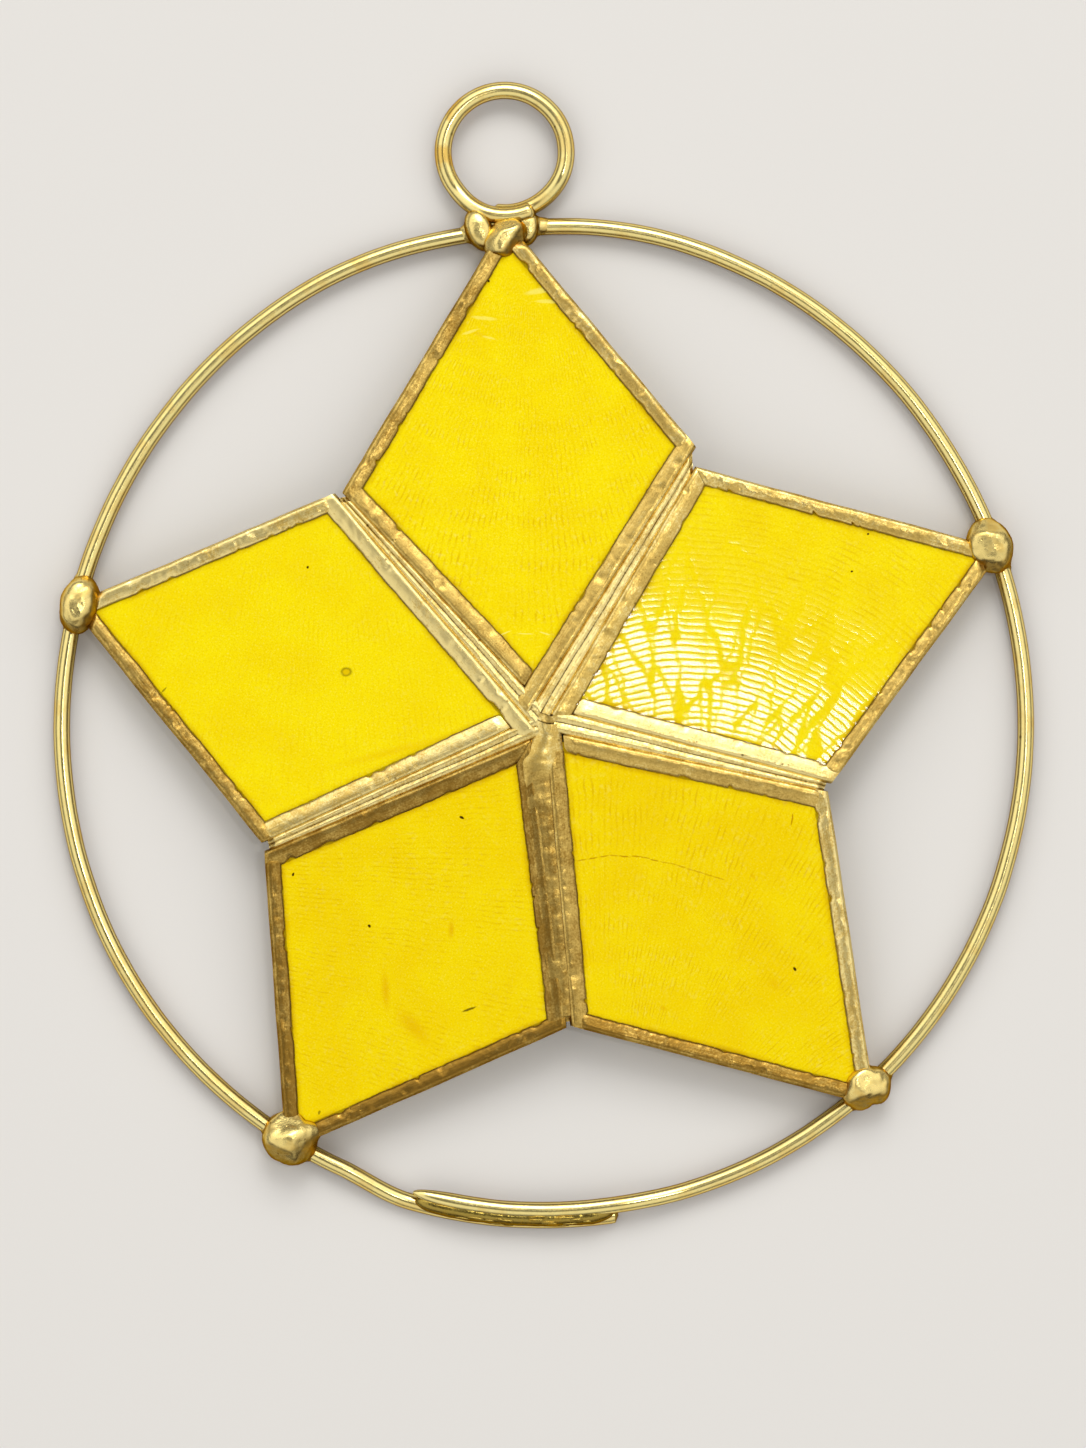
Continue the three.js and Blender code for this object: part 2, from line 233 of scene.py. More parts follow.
def length(label, description, millimetres):
    return bpy.props.FloatProperty(
        name=label, description=description, default=millimetres * MM, precision=5, unit="LENGTH"
    )


def angle(label, description, degrees):
    return bpy.props.FloatProperty(
        name=label, description=description, default=math.radians(degrees), unit="ROTATION"
    )


def colour(label, description, red, green, blue):
    return bpy.props.FloatVectorProperty(
        name=label, description=description, default=(red, green, blue), min=0.0, max=1.0, subtype="COLOR"
    )


def level(label, description, value):
    return bpy.props.FloatProperty(name=label, description=description, default=value)


def power(label, description, watts):
    return bpy.props.FloatProperty(name=label, description=description, default=watts, unit="POWER")


class StarSizes(bpy.types.PropertyGroup):
    """Sizes of the star, its panes and their edge strips."""

    height: length("Height", "Height of the star's middle plane over the table", 6.15)
    rise: length("Rise", "How much higher the middle of the star is than its tips", 3.0)
    reach: length("Reach", "From the middle of the star to a tip", 46.5)
    outer_flange: length("Outer Flange", "Face width of the strip on the outer edges", 1.5)
    seam_flange: length("Seam Flange", "Face width of the strip along the seams", 1.75)
    strip_depth: length("Strip Depth", "Depth of the folded strip from face to face", 1.8)
    sheet: length("Sheet", "Thickness of the strip", 0.2)
    fold: length("Fold", "Radius of the strip's fold", 0.42)
    pane_thickness: length("Pane Thickness", "Thickness of a shell pane", 0.8)
    pane_edge: length("Pane Edge", "How far a pane reaches under its strip", 0.95)
    cell_size: length("Cell Size", "Width of the shell's polished cells", 2.3)
    swell: length("Swell", "Height of a pane's soft waves", 0.045)
    rough: length("Rough", "Height of a pane's small unevenness", 0.005)


class WireSizes(bpy.types.PropertyGroup):
    """Sizes of the wire ring and the hanging loop."""

    ring_radius: length("Ring Radius", "Mean radius of the ring", 46.63)
    ring_wire: length("Ring Wire", "Diameter of the ring's wire", 1.55)
    ring_height: length("Ring Height", "Height of the ring's centre line", 1.325)
    ring_oval: length("Ring Oval", "How much the ring is drawn out along one axis", 0.6)
    ring_pear: length("Ring Pear", "How much fuller one end of that axis is", 0.2)
    ring_axis: angle("Ring Axis", "Direction of that axis", 82)
    dip_turn: angle("Dip Turn", "Where the ring is pressed in under the loop", 92)
    dip_spread: angle("Dip Spread", "Spread of that dip", 13)
    dip_depth: length("Dip Depth", "Depth of that dip", 0.5)
    loop_radius: length("Loop Radius", "Radius of the hanging loop", 5.87)
    loop_wire: length("Loop Wire", "Diameter of the loop's wire", 1.6)
    unevenness: length("Unevenness", "How far the hand-bent wire strays from its curve", 0.16)


class FinishColours(bpy.types.PropertyGroup):
    """Colours of the finishes."""

    shell: colour("Shell", "Dyed shell", 0.95, 0.775, 0.003)
    shell_deep: colour("Shell Deep", "Dyed shell where it is thicker", 0.89, 0.61, 0.001)
    shell_line: colour("Shell Line", "Fine lines of the shell", 0.74, 0.48, 0.001)
    # Painted glints on the shell's short ridges, and the colour of its pale scratches
    shell_glint_and_scratch: colour("Shell Pale", "Ridges and scratches of the shell", 0.98, 0.90, 0.20)
    shell_stain: colour("Shell Stain", "Soft stains in the shell", 0.80, 0.46, 0.001)
    shell_amber: colour("Shell Amber", "Dye that has run together along the strip", 0.50, 0.24, 0.001)
    # Flecks, and the painted shade in the gap under the strips' lips
    shell_fleck: colour("Shell Fleck", "Flecks in the shell", 0.06, 0.025, 0.002)
    strip_pale: colour("Strip Pale", "Bright brass strip", 0.96, 0.78, 0.32)
    strip_tan: colour("Strip Tan", "Satin brass strip", 0.72, 0.50, 0.13)
    strip_brown: colour("Strip Brown", "Tarnished brass strip", 0.30, 0.165, 0.025)
    wire_gold: colour("Wire Gold", "Lacquered gold wire", 0.95, 0.79, 0.31)
    # Painted shade on the wire's flanks, and the olive in its pits
    wire_olive_and_shade: colour("Wire Olive", "Tarnish on the flanks of the wire", 0.20, 0.105, 0.006)
    metal_edge: colour("Metal Edge", "Metal seen at a slant", 0.55, 0.33, 0.07)
    wire_orange: colour("Wire Orange", "Lacquer that has run together on the wire", 0.76, 0.40, 0.015)
    solder_gold: colour("Solder Gold", "Gold lacquered solder", 0.93, 0.73, 0.26)
    # Painted shade on solder turned away from the light, and the colour of its pits
    solder_shade: colour("Solder Shade", "Solder in its hollows", 0.20, 0.105, 0.01)
    # Darker solder in the ring's lap: partly tarnish, partly painted shade standing in for dark reflections
    lap_tarnish_and_shade: colour("Lap Olive", "Tarnished solder in the ring's lap", 0.40, 0.29, 0.06)
    floor: colour("Floor", "Pale floor", 0.78, 0.76, 0.73)


class StageSizes(bpy.types.PropertyGroup):
    """The camera above the ornament and the light on it."""

    aim: bpy.props.FloatVectorProperty(
        name="Aim", description="Point on the floor under the camera", size=2, unit="LENGTH",
        default=(0.07 * MM, -6.55 * MM),
    )
    camera_height: length("Camera Height", "Height of the camera over the floor", 501.2)
    view_height: length("View Height", "Height of the picture at the ring's plane", 138.3)
    turn: angle("Turn", "Turn of the ornament in the picture", 4.5)
    dome: level("Dome", "Light from the soft dome", 0.15)
    window: level("Window", "More light from one side", 0.72)
    horizon: level("Horizon", "Light from the sides", 0.18)
    zenith: level("Zenith", "Light from straight above", 0.11)
    key_power: power("Key", "Power of the key light", 4.5)
    gloss_power: power("Gloss", "Power of the small light that shows in a pane", 0.46)


class OrnamentSettings(bpy.types.PropertyGroup):
    """Everything that can be set for the ornament."""

    star: bpy.props.PointerProperty(type=StarSizes)
    wires: bpy.props.PointerProperty(type=WireSizes)
    colours: bpy.props.PointerProperty(type=FinishColours)
    stage: bpy.props.PointerProperty(type=StageSizes)


def settings():
    return bpy.context.scene.capiz_star


# Short calls for node trees

class Field:
    """A node's output that plain arithmetic can be written with."""

    def __init__(self, maker, socket):
        self.maker = maker
        self.socket = socket

    def __add__(self, other):
        return self.maker.math("ADD", self, other)

    __radd__ = __add__

    def __sub__(self, other):
        return self.maker.math("SUBTRACT", self, other)

    def __rsub__(self, other):
        return self.maker.math("SUBTRACT", other, self)

    def __mul__(self, other):
        return self.maker.math("MULTIPLY", self, other)

    __rmul__ = __mul__

    def __truediv__(self, other):
        return self.maker.math("DIVIDE", self, other)

    def __rtruediv__(self, other):
        return self.maker.math("DIVIDE", other, self)


class NodeMaker:
    """Adds nodes to a tree and links them."""

    def __init__(self, tree):
        self.tree = tree

    def add(self, kind, values=None, **choices):
        node = self.tree.nodes.new(kind)
        for name, choice in choices.items():
            setattr(node, name, choice)
        for key, value in (values or {}).items():
            if isinstance(value, Field):
                self.tree.links.new(value.socket, node.inputs[key])
            else:
                node.inputs[key].default_value = value
        return node

    def field(self, node, output=0):
        return Field(self, node.outputs[output])

    def math(self, operation, *values):
        return self.field(self.add("ShaderNodeMath", dict(enumerate(values)), operation=operation))

    def vector(self, operation, *values, output="Vector"):
        node = self.add("ShaderNodeVectorMath", dict(enumerate(values)), operation=operation)
        return self.field(node, output)

    def scaled(self, vector, factor):
        node = self.add("ShaderNodeVectorMath", {0: vector, "Scale": factor}, operation="SCALE")
        return self.field(node)

    def length_of(self, vector):
        return self.vector("LENGTH", vector, output="Value")

    def combined(self, x=0.0, y=0.0, z=0.0):
        return self.field(self.add("ShaderNodeCombineXYZ", {0: x, 1: y, 2: z}))

    def separated(self, vector):
        node = self.add("ShaderNodeSeparateXYZ", {0: vector})
        return self.field(node, 0), self.field(node, 1), self.field(node, 2)

    def ramp(self, value, low, high, at_low=0.0, at_high=1.0):
        values = {"Value": value, "From Min": low, "From Max": high, "To Min": at_low, "To Max": at_high}
        return self.field(self.add("ShaderNodeMapRange", values, interpolation_type="SMOOTHSTEP"))

    def noise(self, vector, size, detail=2.0, seed=0.0):
        values = {"Vector": vector, "W": seed, "Scale": 1.0 / size, "Detail": detail}
        return self.field(self.add("ShaderNodeTexNoise", values, noise_dimensions="4D"), "Fac")

    def mix(self, factor, first, second):
        node = self.add("ShaderNodeMix", {0: factor, 6: first, 7: second}, data_type="RGBA")
        return self.field(node, 2)

    def blend(self, factor, first, second):
        node = self.add("ShaderNodeMix", {0: factor, 4: first, 5: second}, data_type="VECTOR")
        return self.field(node, 1)

    def attribute(self, name, output="Fac"):
        return self.field(self.add("ShaderNodeAttribute", attribute_name=name), output)

    def put_out(self, output, **values):
        """Links values to the sockets of a group's output node."""
        for label, value in values.items():
            self.tree.links.new(value.socket, output.inputs[label])


def new_tree(name, kind, inputs, outputs):
    """A node group with named sockets: returns it, its maker, its inputs as fields and its output node."""
    tree = bpy.data.node_groups.new(name, kind)
    for label, socket in inputs.items():
        tree.interface.new_socket(label, in_out="INPUT", socket_type="NodeSocket" + socket)
    for label, socket in outputs.items():
        tree.interface.new_socket(label, in_out="OUTPUT", socket_type="NodeSocket" + socket)
    make = NodeMaker(tree)
    source = make.add("NodeGroupInput")
    given = {label: make.field(source, label) for label in inputs}
    return tree, make, given, make.add("NodeGroupOutput")


# Geometry node trees

BEND_SIZE = 9.0  # size of the bends by which a hand-bent wire strays, in millimetres
BEND_SHARES = (1.0, 1.0, 0.25)  # it strays less in height than to its sides
BLUNT = 1.02  # over 1, so that the ends of a wire stay a little blunt
FLAKE_FRONT = 0.1  # flakes lie where a wire's surface is turned up at least so far
FLAKE_GROWTH = (0.5, 1.3)  # smallest and largest flake, as shares of their length
FLAKE_WIDTH = 0.12
FLAKE_HEIGHT = 0.1


def bent_wire_tree():
    """A wire bent round a centre, with its two ends lying side by side for a stretch."""
    floats = (
        "Radius", "Thickness", "Oval", "Pear", "Long Axis", "Dip Turn", "Dip Spread", "Dip Depth",
        "Start", "End", "Blend", "Inner", "Inner Rise", "Outer", "Outer Rise",
        "Start Taper", "End Taper", "Unevenness", "Lumps", "Lump Size", "Seed", "Flakes", "Flake Length",
    )
    inputs = {"Centre": "Vector", "Steps": "Int", "Sides": "Int", "Material": "Material"}
    inputs.update({name: "Float" for name in floats})
    tree, make, given, output = new_tree("Bent Wire", "GeometryNodeTree", inputs, {"Wire": "Geometry"})

    along = make.field(make.add("GeometryNodeInputIndex")) / (given["Steps"] - 1)
    start = given["Start"]
    end = given["End"]
    turn = start + along * (end - start + FULL_TURN)
    first = make.ramp(turn, end, end + given["Blend"], 1.0, 0.0)
    last = make.ramp(turn, start + FULL_TURN - given["Blend"], start + FULL_TURN)
    phase = turn - given["Long Axis"]
    from_dip = make.math("WRAP", turn - given["Dip Turn"], math.pi, -math.pi) / given["Dip Spread"]
    dip = given["Dip Depth"] * make.math("EXPONENT", from_dip * from_dip * -1.0)
    oval = given["Oval"] * make.math("COSINE", phase * 2.0)
    pear = given["Pear"] * make.math("COSINE", phase * 3.0)
    radius = given["Radius"] + oval + pear - dip - given["Inner"] * first + given["Outer"] * last
    height = given["Inner Rise"] * first + given["Outer Rise"] * last
    bend = make.combined(radius * make.math("COSINE", turn), radius * make.math("SINE", turn), height)
    place = make.vector("ADD", bend, given["Centre"])
    values = {"Vector": place, "W": given["Seed"], "Scale": 1.0 / (BEND_SIZE * MM)}
    stray = make.add("ShaderNodeTexNoise", values, noise_dimensions="4D")
    stray = make.vector("SUBTRACT", make.field(stray, "Color"), (0.5, 0.5, 0.5))
    stray = make.vector("MULTIPLY", stray, BEND_SHARES)
    place = make.vector("ADD", place, make.scaled(stray, given["Unevenness"]))

    line = make.add("GeometryNodeMeshLine", {"Count": given["Steps"]})
    bent = make.add("GeometryNodeSetPosition", {"Geometry": make.field(line), "Position": place})
    curve = make.field(make.add("GeometryNodeMeshToCurve", {"Mesh": make.field(bent)}))
    run = make.field(make.add("GeometryNodeSplineParameter"), "Length")
    whole = make.field(make.add("GeometryNodeSplineLength"), "Length")
    into_start = 1.0 - make.math("MINIMUM", run / given["Start Taper"], 1.0)
    into_end = 1.0 - make.math("MINIMUM", (whole - run) / given["End Taper"], 1.0)
    round_start = make.math("SQRT", BLUNT - into_start * into_start)
    round_end = make.math("SQRT", BLUNT - into_end * into_end)
    spot = make.field(make.add("GeometryNodeInputPosition"))
    lump = make.noise(spot, given["Lump Size"], 3.0, given["Seed"])
    swell = 1.0 + given["Lumps"] * (lump - 0.5)
    section = make.add(
        "GeometryNodeCurvePrimitiveCircle", {"Resolution": given["Sides"], "Radius": given["Thickness"] / 2.0}
    )
    swept = make.add("GeometryNodeCurveToMesh", {
        "Curve": curve, "Profile Curve": make.field(section),
        "Scale": round_start * round_end * swell, "Fill Caps": True,
    })
    swept = make.field(swept)
    flakes = wire_flakes(make, swept, given["Centre"], given["Flakes"], given["Flake Length"])
    joined = make.add("GeometryNodeJoinGeometry")
    tree.links.new(swept.socket, joined.inputs[0])
    tree.links.new(flakes.socket, joined.inputs[0])
    finish_tree(make, make.field(joined), given["Material"], output)
    return tree


def wire_flakes(make, swept, centre, density, size):
    """Thin flakes of solder that lie along the front of a bent wire."""
    normal = make.field(make.add("GeometryNodeInputNormal"))
    front = make.math("GREATER_THAN", make.separated(normal)[2], FLAKE_FRONT)
    points = make.add("GeometryNodeDistributePointsOnFaces", {
        "Mesh": swept, "Selection": front, "Density": density, "Seed": 5,
    })
    place = make.field(make.add("GeometryNodeInputPosition"))
    along = make.vector("CROSS_PRODUCT", (0.0, 0.0, 1.0), make.vector("SUBTRACT", place, centre))
    lying = make.add("FunctionNodeAlignRotationToVector", {"Vector": along}, axis="X")
    flat = make.add(
        "FunctionNodeAlignRotationToVector",
        {"Rotation": make.field(lying), "Vector": make.field(points, "Normal")}, axis="Z", pivot_axis="X",
    )
    grown = make.add("FunctionNodeRandomValue", {2: FLAKE_GROWTH[0], 3: FLAKE_GROWTH[1], "Seed": 8})
    flake = make.add("GeometryNodeMeshIcoSphere", {"Radius": 1.0, "Subdivisions": 2})
    laid = make.add("GeometryNodeInstanceOnPoints", {
        "Points": make.field(points), "Instance": make.field(flake), "Rotation": make.field(flat),
        "Scale": make.combined(size * make.field(grown, 1), size * FLAKE_WIDTH, size * FLAKE_HEIGHT),
    })
    return make.field(laid)


def inside_side(make, point, start, end):
    """How far a point lies inside the side that runs from start to end."""
    run_x, run_y, _ = make.separated(make.vector("NORMALIZE", make.vector("SUBTRACT", end, start)))
    inward = make.combined(run_y * -1.0, run_x)
    return make.vector("DOT_PRODUCT", make.vector("SUBTRACT", point, start), inward, output="Value")


# Noise that bends the shell's lines: its size and how far it moves them, in millimetres, and its detail
WANDER = (6.0, 0.9, 2.0)
JITTER = (1.1, 0.3, 1.0)
CELL_STRAY = (1.7, 1.9, 2.0)
CELL_STRETCH = 0.26  # length of a polished cell along the fine lines, as a share of its length across them
FURROW = (0.04, 0.07)  # a furrow's floor and its rim, as shares of a cell
CELL_RISE = 2.0  # height of the polished cells over the furrows, in heights of a fine ridge
CLOSED = (0.66, 0.74)  # noise over which the furrows close
PATCHES = (0.36, 0.62)  # noise over which the fine lines grow from faint to full
FAINT_LINES = 0.2

# Other noise in a sheet: its size in millimetres and its detail
CLOSED_NOISE = (2.2, 1.0)
PATCH_NOISE = (4.5, 2.0)
SWELL_NOISE = (7.0, 1.0)
ROUGH_NOISE = (1.3, 2.0)


def shell_sheet_tree():
    """A shell pane's face between four corners, rippled by fine lines and polished cells."""
    corners = [corner.capitalize() for corner in CORNERS]
    inputs = {label: "Vector" for label in (*corners, "Umbo", "Place", "Turn")}
    inputs.update({"Grid Points": "Int", "Material": "Material"})
    floats = ("Arcs", "Line Spacing", "Line Height", "Cell Size", "Swell", "Rough", "Seed")
    inputs.update({label: "Float" for label in floats})
    tree, make, given, output = new_tree("Pane Sheet", "GeometryNodeTree", inputs, {"Sheet": "Geometry"})

    points = given["Grid Points"]
    grid = make.add("GeometryNodeMeshGrid", {"Vertices X": points, "Vertices Y": points})
    x, y, _ = make.separated(make.field(make.add("GeometryNodeInputPosition")))
    near = make.blend(x + 0.5, given["Tip"], given["Ccw"])
    far = make.blend(x + 0.5, given["Cw"], given["Root"])
    flat = make.blend(y + 0.5, near, far)
    rim = None
    for index, label in enumerate(corners):
        inside = inside_side(make, flat, given[label], given[corners[(index + 1) % 4]])
        rim = make.math("MINIMUM", rim, inside) if rim else inside

    middle = make.scaled(make.vector("ADD", given["Tip"], given["Root"]), 0.5)
    towards = make.vector("SUBTRACT", middle, given["Umbo"])
    out = make.vector("SUBTRACT", flat, given["Umbo"])
    towards_x, towards_y, _ = make.separated(towards)
    out_x, out_y, _ = make.separated(out)
    aside = towards_x * out_y - towards_y * out_x
    ahead = towards_x * out_x + towards_y * out_y
    round_umbo = make.math("ARCTAN2", aside, ahead) * make.length_of(towards)
    from_umbo = make.length_of(out)

    def clouds(millimetres, detail):
        return make.noise(flat, millimetres * MM, detail, given["Seed"])

    def strayed(millimetres, reach, detail):
        return (clouds(millimetres, detail) - 0.5) * (reach * MM)

    wander = strayed(*WANDER)
    jitter = strayed(*JITTER)
    across_lines = round_umbo + given["Arcs"] * (from_umbo - round_umbo) + wander + jitter
    along_lines = from_umbo + given["Arcs"] * (round_umbo - from_umbo) + wander
    count = across_lines / given["Line Spacing"]
    bars = make.math("ABSOLUTE", make.math("SINE", count * math.pi))
    patch = make.ramp(clouds(*PATCH_NOISE), *PATCHES, FAINT_LINES, 1.0)
    unit = given["Cell Size"]
    spot = make.combined((along_lines + strayed(*CELL_STRAY)) / unit, across_lines / unit * CELL_STRETCH)
    values = {"Vector": spot, "W": given["Seed"], "Scale": 1.0}
    cells = make.add("ShaderNodeTexVoronoi", values, voronoi_dimensions="4D", feature="DISTANCE_TO_EDGE")
    closed = make.ramp(clouds(*CLOSED_NOISE), *CLOSED)
    polish = make.math("MAXIMUM", closed, make.ramp(make.field(cells, "Distance"), *FURROW))
    swell = clouds(*SWELL_NOISE) - 0.5
    rough = clouds(*ROUGH_NOISE) - 0.5
    ridges = (bars + polish * CELL_RISE) * given["Line Height"]
    height = ridges + swell * given["Swell"] + rough * given["Rough"]

    sheet = make.field(grid)
    stored = {
        "sheet": (flat, "FLOAT_VECTOR"),
        "lines": (make.combined(count, along_lines / MM, patch), "FLOAT_VECTOR"),
        "rim": (rim, "FLOAT"),
        "polish": (polish, "FLOAT"),
    }
    for label, (value, kind) in stored.items():
        values = {"Geometry": sheet, "Name": label, "Value": value}
        sheet = make.field(make.add("GeometryNodeStoreNamedAttribute", values, data_type=kind))
    raised = make.vector("ADD", flat, make.combined(z=height))
    sheet = make.field(make.add("GeometryNodeSetPosition", {"Geometry": sheet, "Position": raised}))
    placed = make.add(
        "GeometryNodeTransform", {"Geometry": sheet, "Translation": given["Place"], "Rotation": given["Turn"]}
    )
    finish_tree(make, make.field(placed), given["Material"], output)
    return tree


def finish_tree(make, geometry, material, output):
    """Every tree ends in Realize Instances and Set Material."""
    smooth = make.add("GeometryNodeSetShadeSmooth", {"Geometry": geometry})
    real = make.add("GeometryNodeRealizeInstances", {"Geometry": make.field(smooth)})
    done = make.add("GeometryNodeSetMaterial", {"Geometry": make.field(real), "Material": material})
    make.tree.links.new(done.outputs[0], output.inputs[0])


# Pieces

SHARP_ANGLE = math.radians(42)


def dress(piece, node):
    """Lets a finished piece ride on the ornament in place of its node."""
    piece.data.set_sharp_from_angle(angle=SHARP_ANGLE)
    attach(piece, BODY)
    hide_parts(node)


def node_piece(name, tree, values, thickness=None):
    """A plain mesh made by a geometry node tree, with a wall of that thickness if it has one."""
    piece = bpy.data.objects.new(name, bpy.data.meshes.new(name))
    bpy.context.scene.collection.objects.link(piece)
    modifier = piece.modifiers.new("Shape", "NODES")
    modifier.node_group = tree
    for label, value in values.items():
        modifier[tree.interface.items_tree[label].identifier] = value
    if thickness:
        wall = piece.modifiers.new("Wall", "SOLIDIFY")
        wall.thickness = thickness
        wall.offset = -1.0
    depsgraph = bpy.context.evaluated_depsgraph_get()
    mesh = bpy.data.meshes.new_from_object(piece.evaluated_get(depsgraph), depsgraph=depsgraph)
    mesh.name = name
    piece.modifiers.clear()
    piece.data = mesh
    if not mesh.polygons:
        raise RuntimeError(f"{name} came out empty")
    return piece


def mesh_piece(name, vertices, faces, material, attributes=None):
    """A plain mesh from points and faces, with the numbers that its finish reads."""
    mesh = bpy.data.meshes.new(name)
    mesh.from_pydata(vertices, [], faces)
    work = bmesh.new()
    work.from_mesh(mesh)
    bmesh.ops.recalc_face_normals(work, faces=work.faces)
    work.to_mesh(mesh)
    work.free()
    for label, values in (attributes or {}).items():
        mesh.attributes.new(label, "FLOAT", "POINT").data.foreach_set("value", values)
    mesh.shade_smooth()
    mesh.materials.append(material)
    piece = bpy.data.objects.new(name, mesh)
    bpy.context.scene.collection.objects.link(piece)
    return piece


def swept_faces(first, stations, around):
    """Faces of a closed section swept through its stations, with both ends closed."""
    faces = []
    for station in range(stations - 1):
        row = first + station * around
        for side in range(around):
            after = (side + 1) % around
            faces.append((row + side, row + after, row + around + after, row + around + side))
    faces.append(tuple(range(first + around - 1, first - 1, -1)))
    last = first + (stations - 1) * around
    faces.append(tuple(range(last, last + around)))
    return faces


CREASE_MIDDLE = 0.25  # mean height of creased noise, taken off so that creases don't thicken a piece


def smooth_step(value, low, high):
    share = min(max((value - low) / (high - low), 0.0), 1.0)
    return share * share * (3 - 2 * share)


def wobble(place, size, seed):
    """Smooth noise between about -1 and 1 along a length in millimetres."""
    return noise.noise(Vector((place / size, seed * 7.31, 0.37)))


def ripple(along, across, size, seed):
    return noise.noise(Vector((along / size, across / size, seed * 3.17)))


class Wave(NamedTuple):
    """Soft unevenness along a piece. The offset gives it a noise of its own."""

    depth: float
    length: float
    offset: int = 0


def wave_height(wave, place, seed):
    return wave.depth * wobble(place, wave.length, seed + wave.offset)


def pane_matrix(pane):
    """From a pane's own millimetres to the ornament's frame."""
    star = settings().star
    slope = math.atan(star.rise / star.reach)
    place = Matrix.Translation(Vector(STAR_MIDDLE) + Vector((0, 0, star.height)))
    turn = Euler((0, slope, math.radians(pane.axis))).to_matrix().to_4x4()
    return place @ turn @ Matrix.Scale(MM, 4)


# Shell panes

PANE_POINTS = 200  # along each side of a pane's sheet
PANE_SHIFT = 3.7  # keeps the noise of each pane apart from the next


def moved_out(corners, outer, seam):
    """The four corners with each side moved outwards by its margin, in millimetres."""
    points = [Vector(corner) for corner in corners]
    sides = []
    for index, point in enumerate(points):
        run = (points[(index + 1) % 4] - point).normalized()
        outward = Vector((run.y, -run.x))
        sides.append((point + outward * (outer if LEG_IS_OUTER[index] else seam), run))
    moved = []
    for index, (point, run) in enumerate(sides):
        before, before_run = sides[index - 1]
        gap = point - before
        distance = (gap.x * run.y - gap.y * run.x) / (before_run.x * run.y - before_run.y * run.x)
        moved.append(before + before_run * distance)
    return moved


class CAPIZSTAR_OT_shell_panes(bpy.types.Operator):
    """Make the five rippled shell panes"""

    bl_idname = "capiz_star.shell_panes"
    bl_label = "Capiz Panes"

    def execute(self, context):
        star = settings().star
        tree = shell_sheet_tree()
        under_strip = star.pane_edge / MM
        for number, pane in enumerate(PANES):
            corners = moved_out(pane.corners, under_strip, under_strip)
            matrix = pane_matrix(pane)
            values = {
                label.capitalize(): Vector((*corner, 0.0)) * MM for label, corner in zip(CORNERS, corners)
            }
            values.update({
                "Umbo": Vector((*pane.umbo, 0.0)) * MM,
                "Place": matrix @ Vector((0.0, 0.0, star.pane_thickness / MM / 2)),
                "Turn": matrix.to_euler(),
                "Grid Points": PANE_POINTS,
                "Material": shell_finish(pane),
                "Arcs": pane.arcs,
                "Line Spacing": pane.spacing * MM,
                "Line Height": pane.line_height * MM,
                "Cell Size": star.cell_size,
                "Swell": star.swell,
                "Rough": star.rough,
                "Seed": PANE_SHIFT * number,
            })
            piece = node_piece(f"capiz_pane_{pane.name}", tree, values, star.pane_thickness)
            dress(piece, f"pane_{pane.name}")
        return {"FINISHED"}


# Edge strips

LEG_STEP = 0.13  # spacing of the stations along a leg, in millimetres, as are the lengths below
FLANGE_STEPS = 8
FOLD_STEPS = 5
LEG_SHIFT = 31.7  # keeps the noise of each leg apart from the next

# The strip's section
FACE_DROP = 0.06  # how far a strip's faces lie inside its full depth
FLAT_LIP = 0.80  # height of the flange's inner edge, as a share of half the strip's depth
ROUND_LIP = 0.60
LIP_ROUNDING = 0.35  # how much of the sheet is rounded off at the lip
PROUD = 0.895  # no part of a strip stands higher over its pane's middle
FOLD_HIGHLIGHT_SPAN = (0.5, 0.12)  # the fold is painted bright, a painted highlight, between these distances from its edge
CAD_TOP = CAD_BOX[1][2] - 0.01 * MM  # strips and seams stay just under the solids' top

# The ends of a leg
OVER_REACH = 0.97  # how far an end reaches across the width of a leg under it, and of one over it
UNDER_REACH = 0.7
ROOT_GAP = 0.06  # at the root the leg underneath stops this far short of the other
LAP_PRESS = 0.3  # how far an end that lies underneath is pressed down
TIP_CUT = 0.35  # how far both ends at a tip run past the opening, into the solder
TIP_PRESS = 0.4
PRESS_RUN = (-0.2, 0.9)  # over which an end is pressed down, from the corner inwards
MITRE_GAP = 0.03
END_ROUNDING = 0.12
END_RUN = 0.35  # over which an end is rounded

# Dents in a leg and tears in its inner edge, counted for an outer leg and for one along a seam
DENTS = {True: 9, False: 6}
DENT_INSET = 0.2  # from the flange's inner edge
DENT_REACH = (0.3, 1.0)
DENT_DEPTH = (0.03, 0.12)
TEARS = {True: 6, False: 4}
TEAR_INSET = 1  # from the ends of the leg
TEAR_REACH = (0.12, 0.6)
TEAR_DEPTH = (0.06, 0.26)
TEAR_POWER = 0.6  # the lower, the blunter the bottom of a tear

# Unevenness along a leg, and in its faces
EDGE_WAVE = Wave(0.1, 2.6)
EDGE_KINKS = Wave(0.06, 0.55, 40)
WIDTH_WAVE = Wave(0.06, 4.0, 11)
TOP_WAVE = Wave(0.03, 3.1, 5)
FOLD_HIGHLIGHT_WAVE = Wave(1.0, 1.7, 33)
TARNISH_WAVE = Wave(0.12, 3.5, 21)
CRUMPLE_WAVES = Wave(0.035, 1.5)
CRUMPLE_CREASES = Wave(0.05, 0.75, 3)
CRUMPLE_GRAIN = Wave(0.008, 0.24, 6)
OUTER_CRUMPLE = 1.4  # the outer legs are this much more crumpled


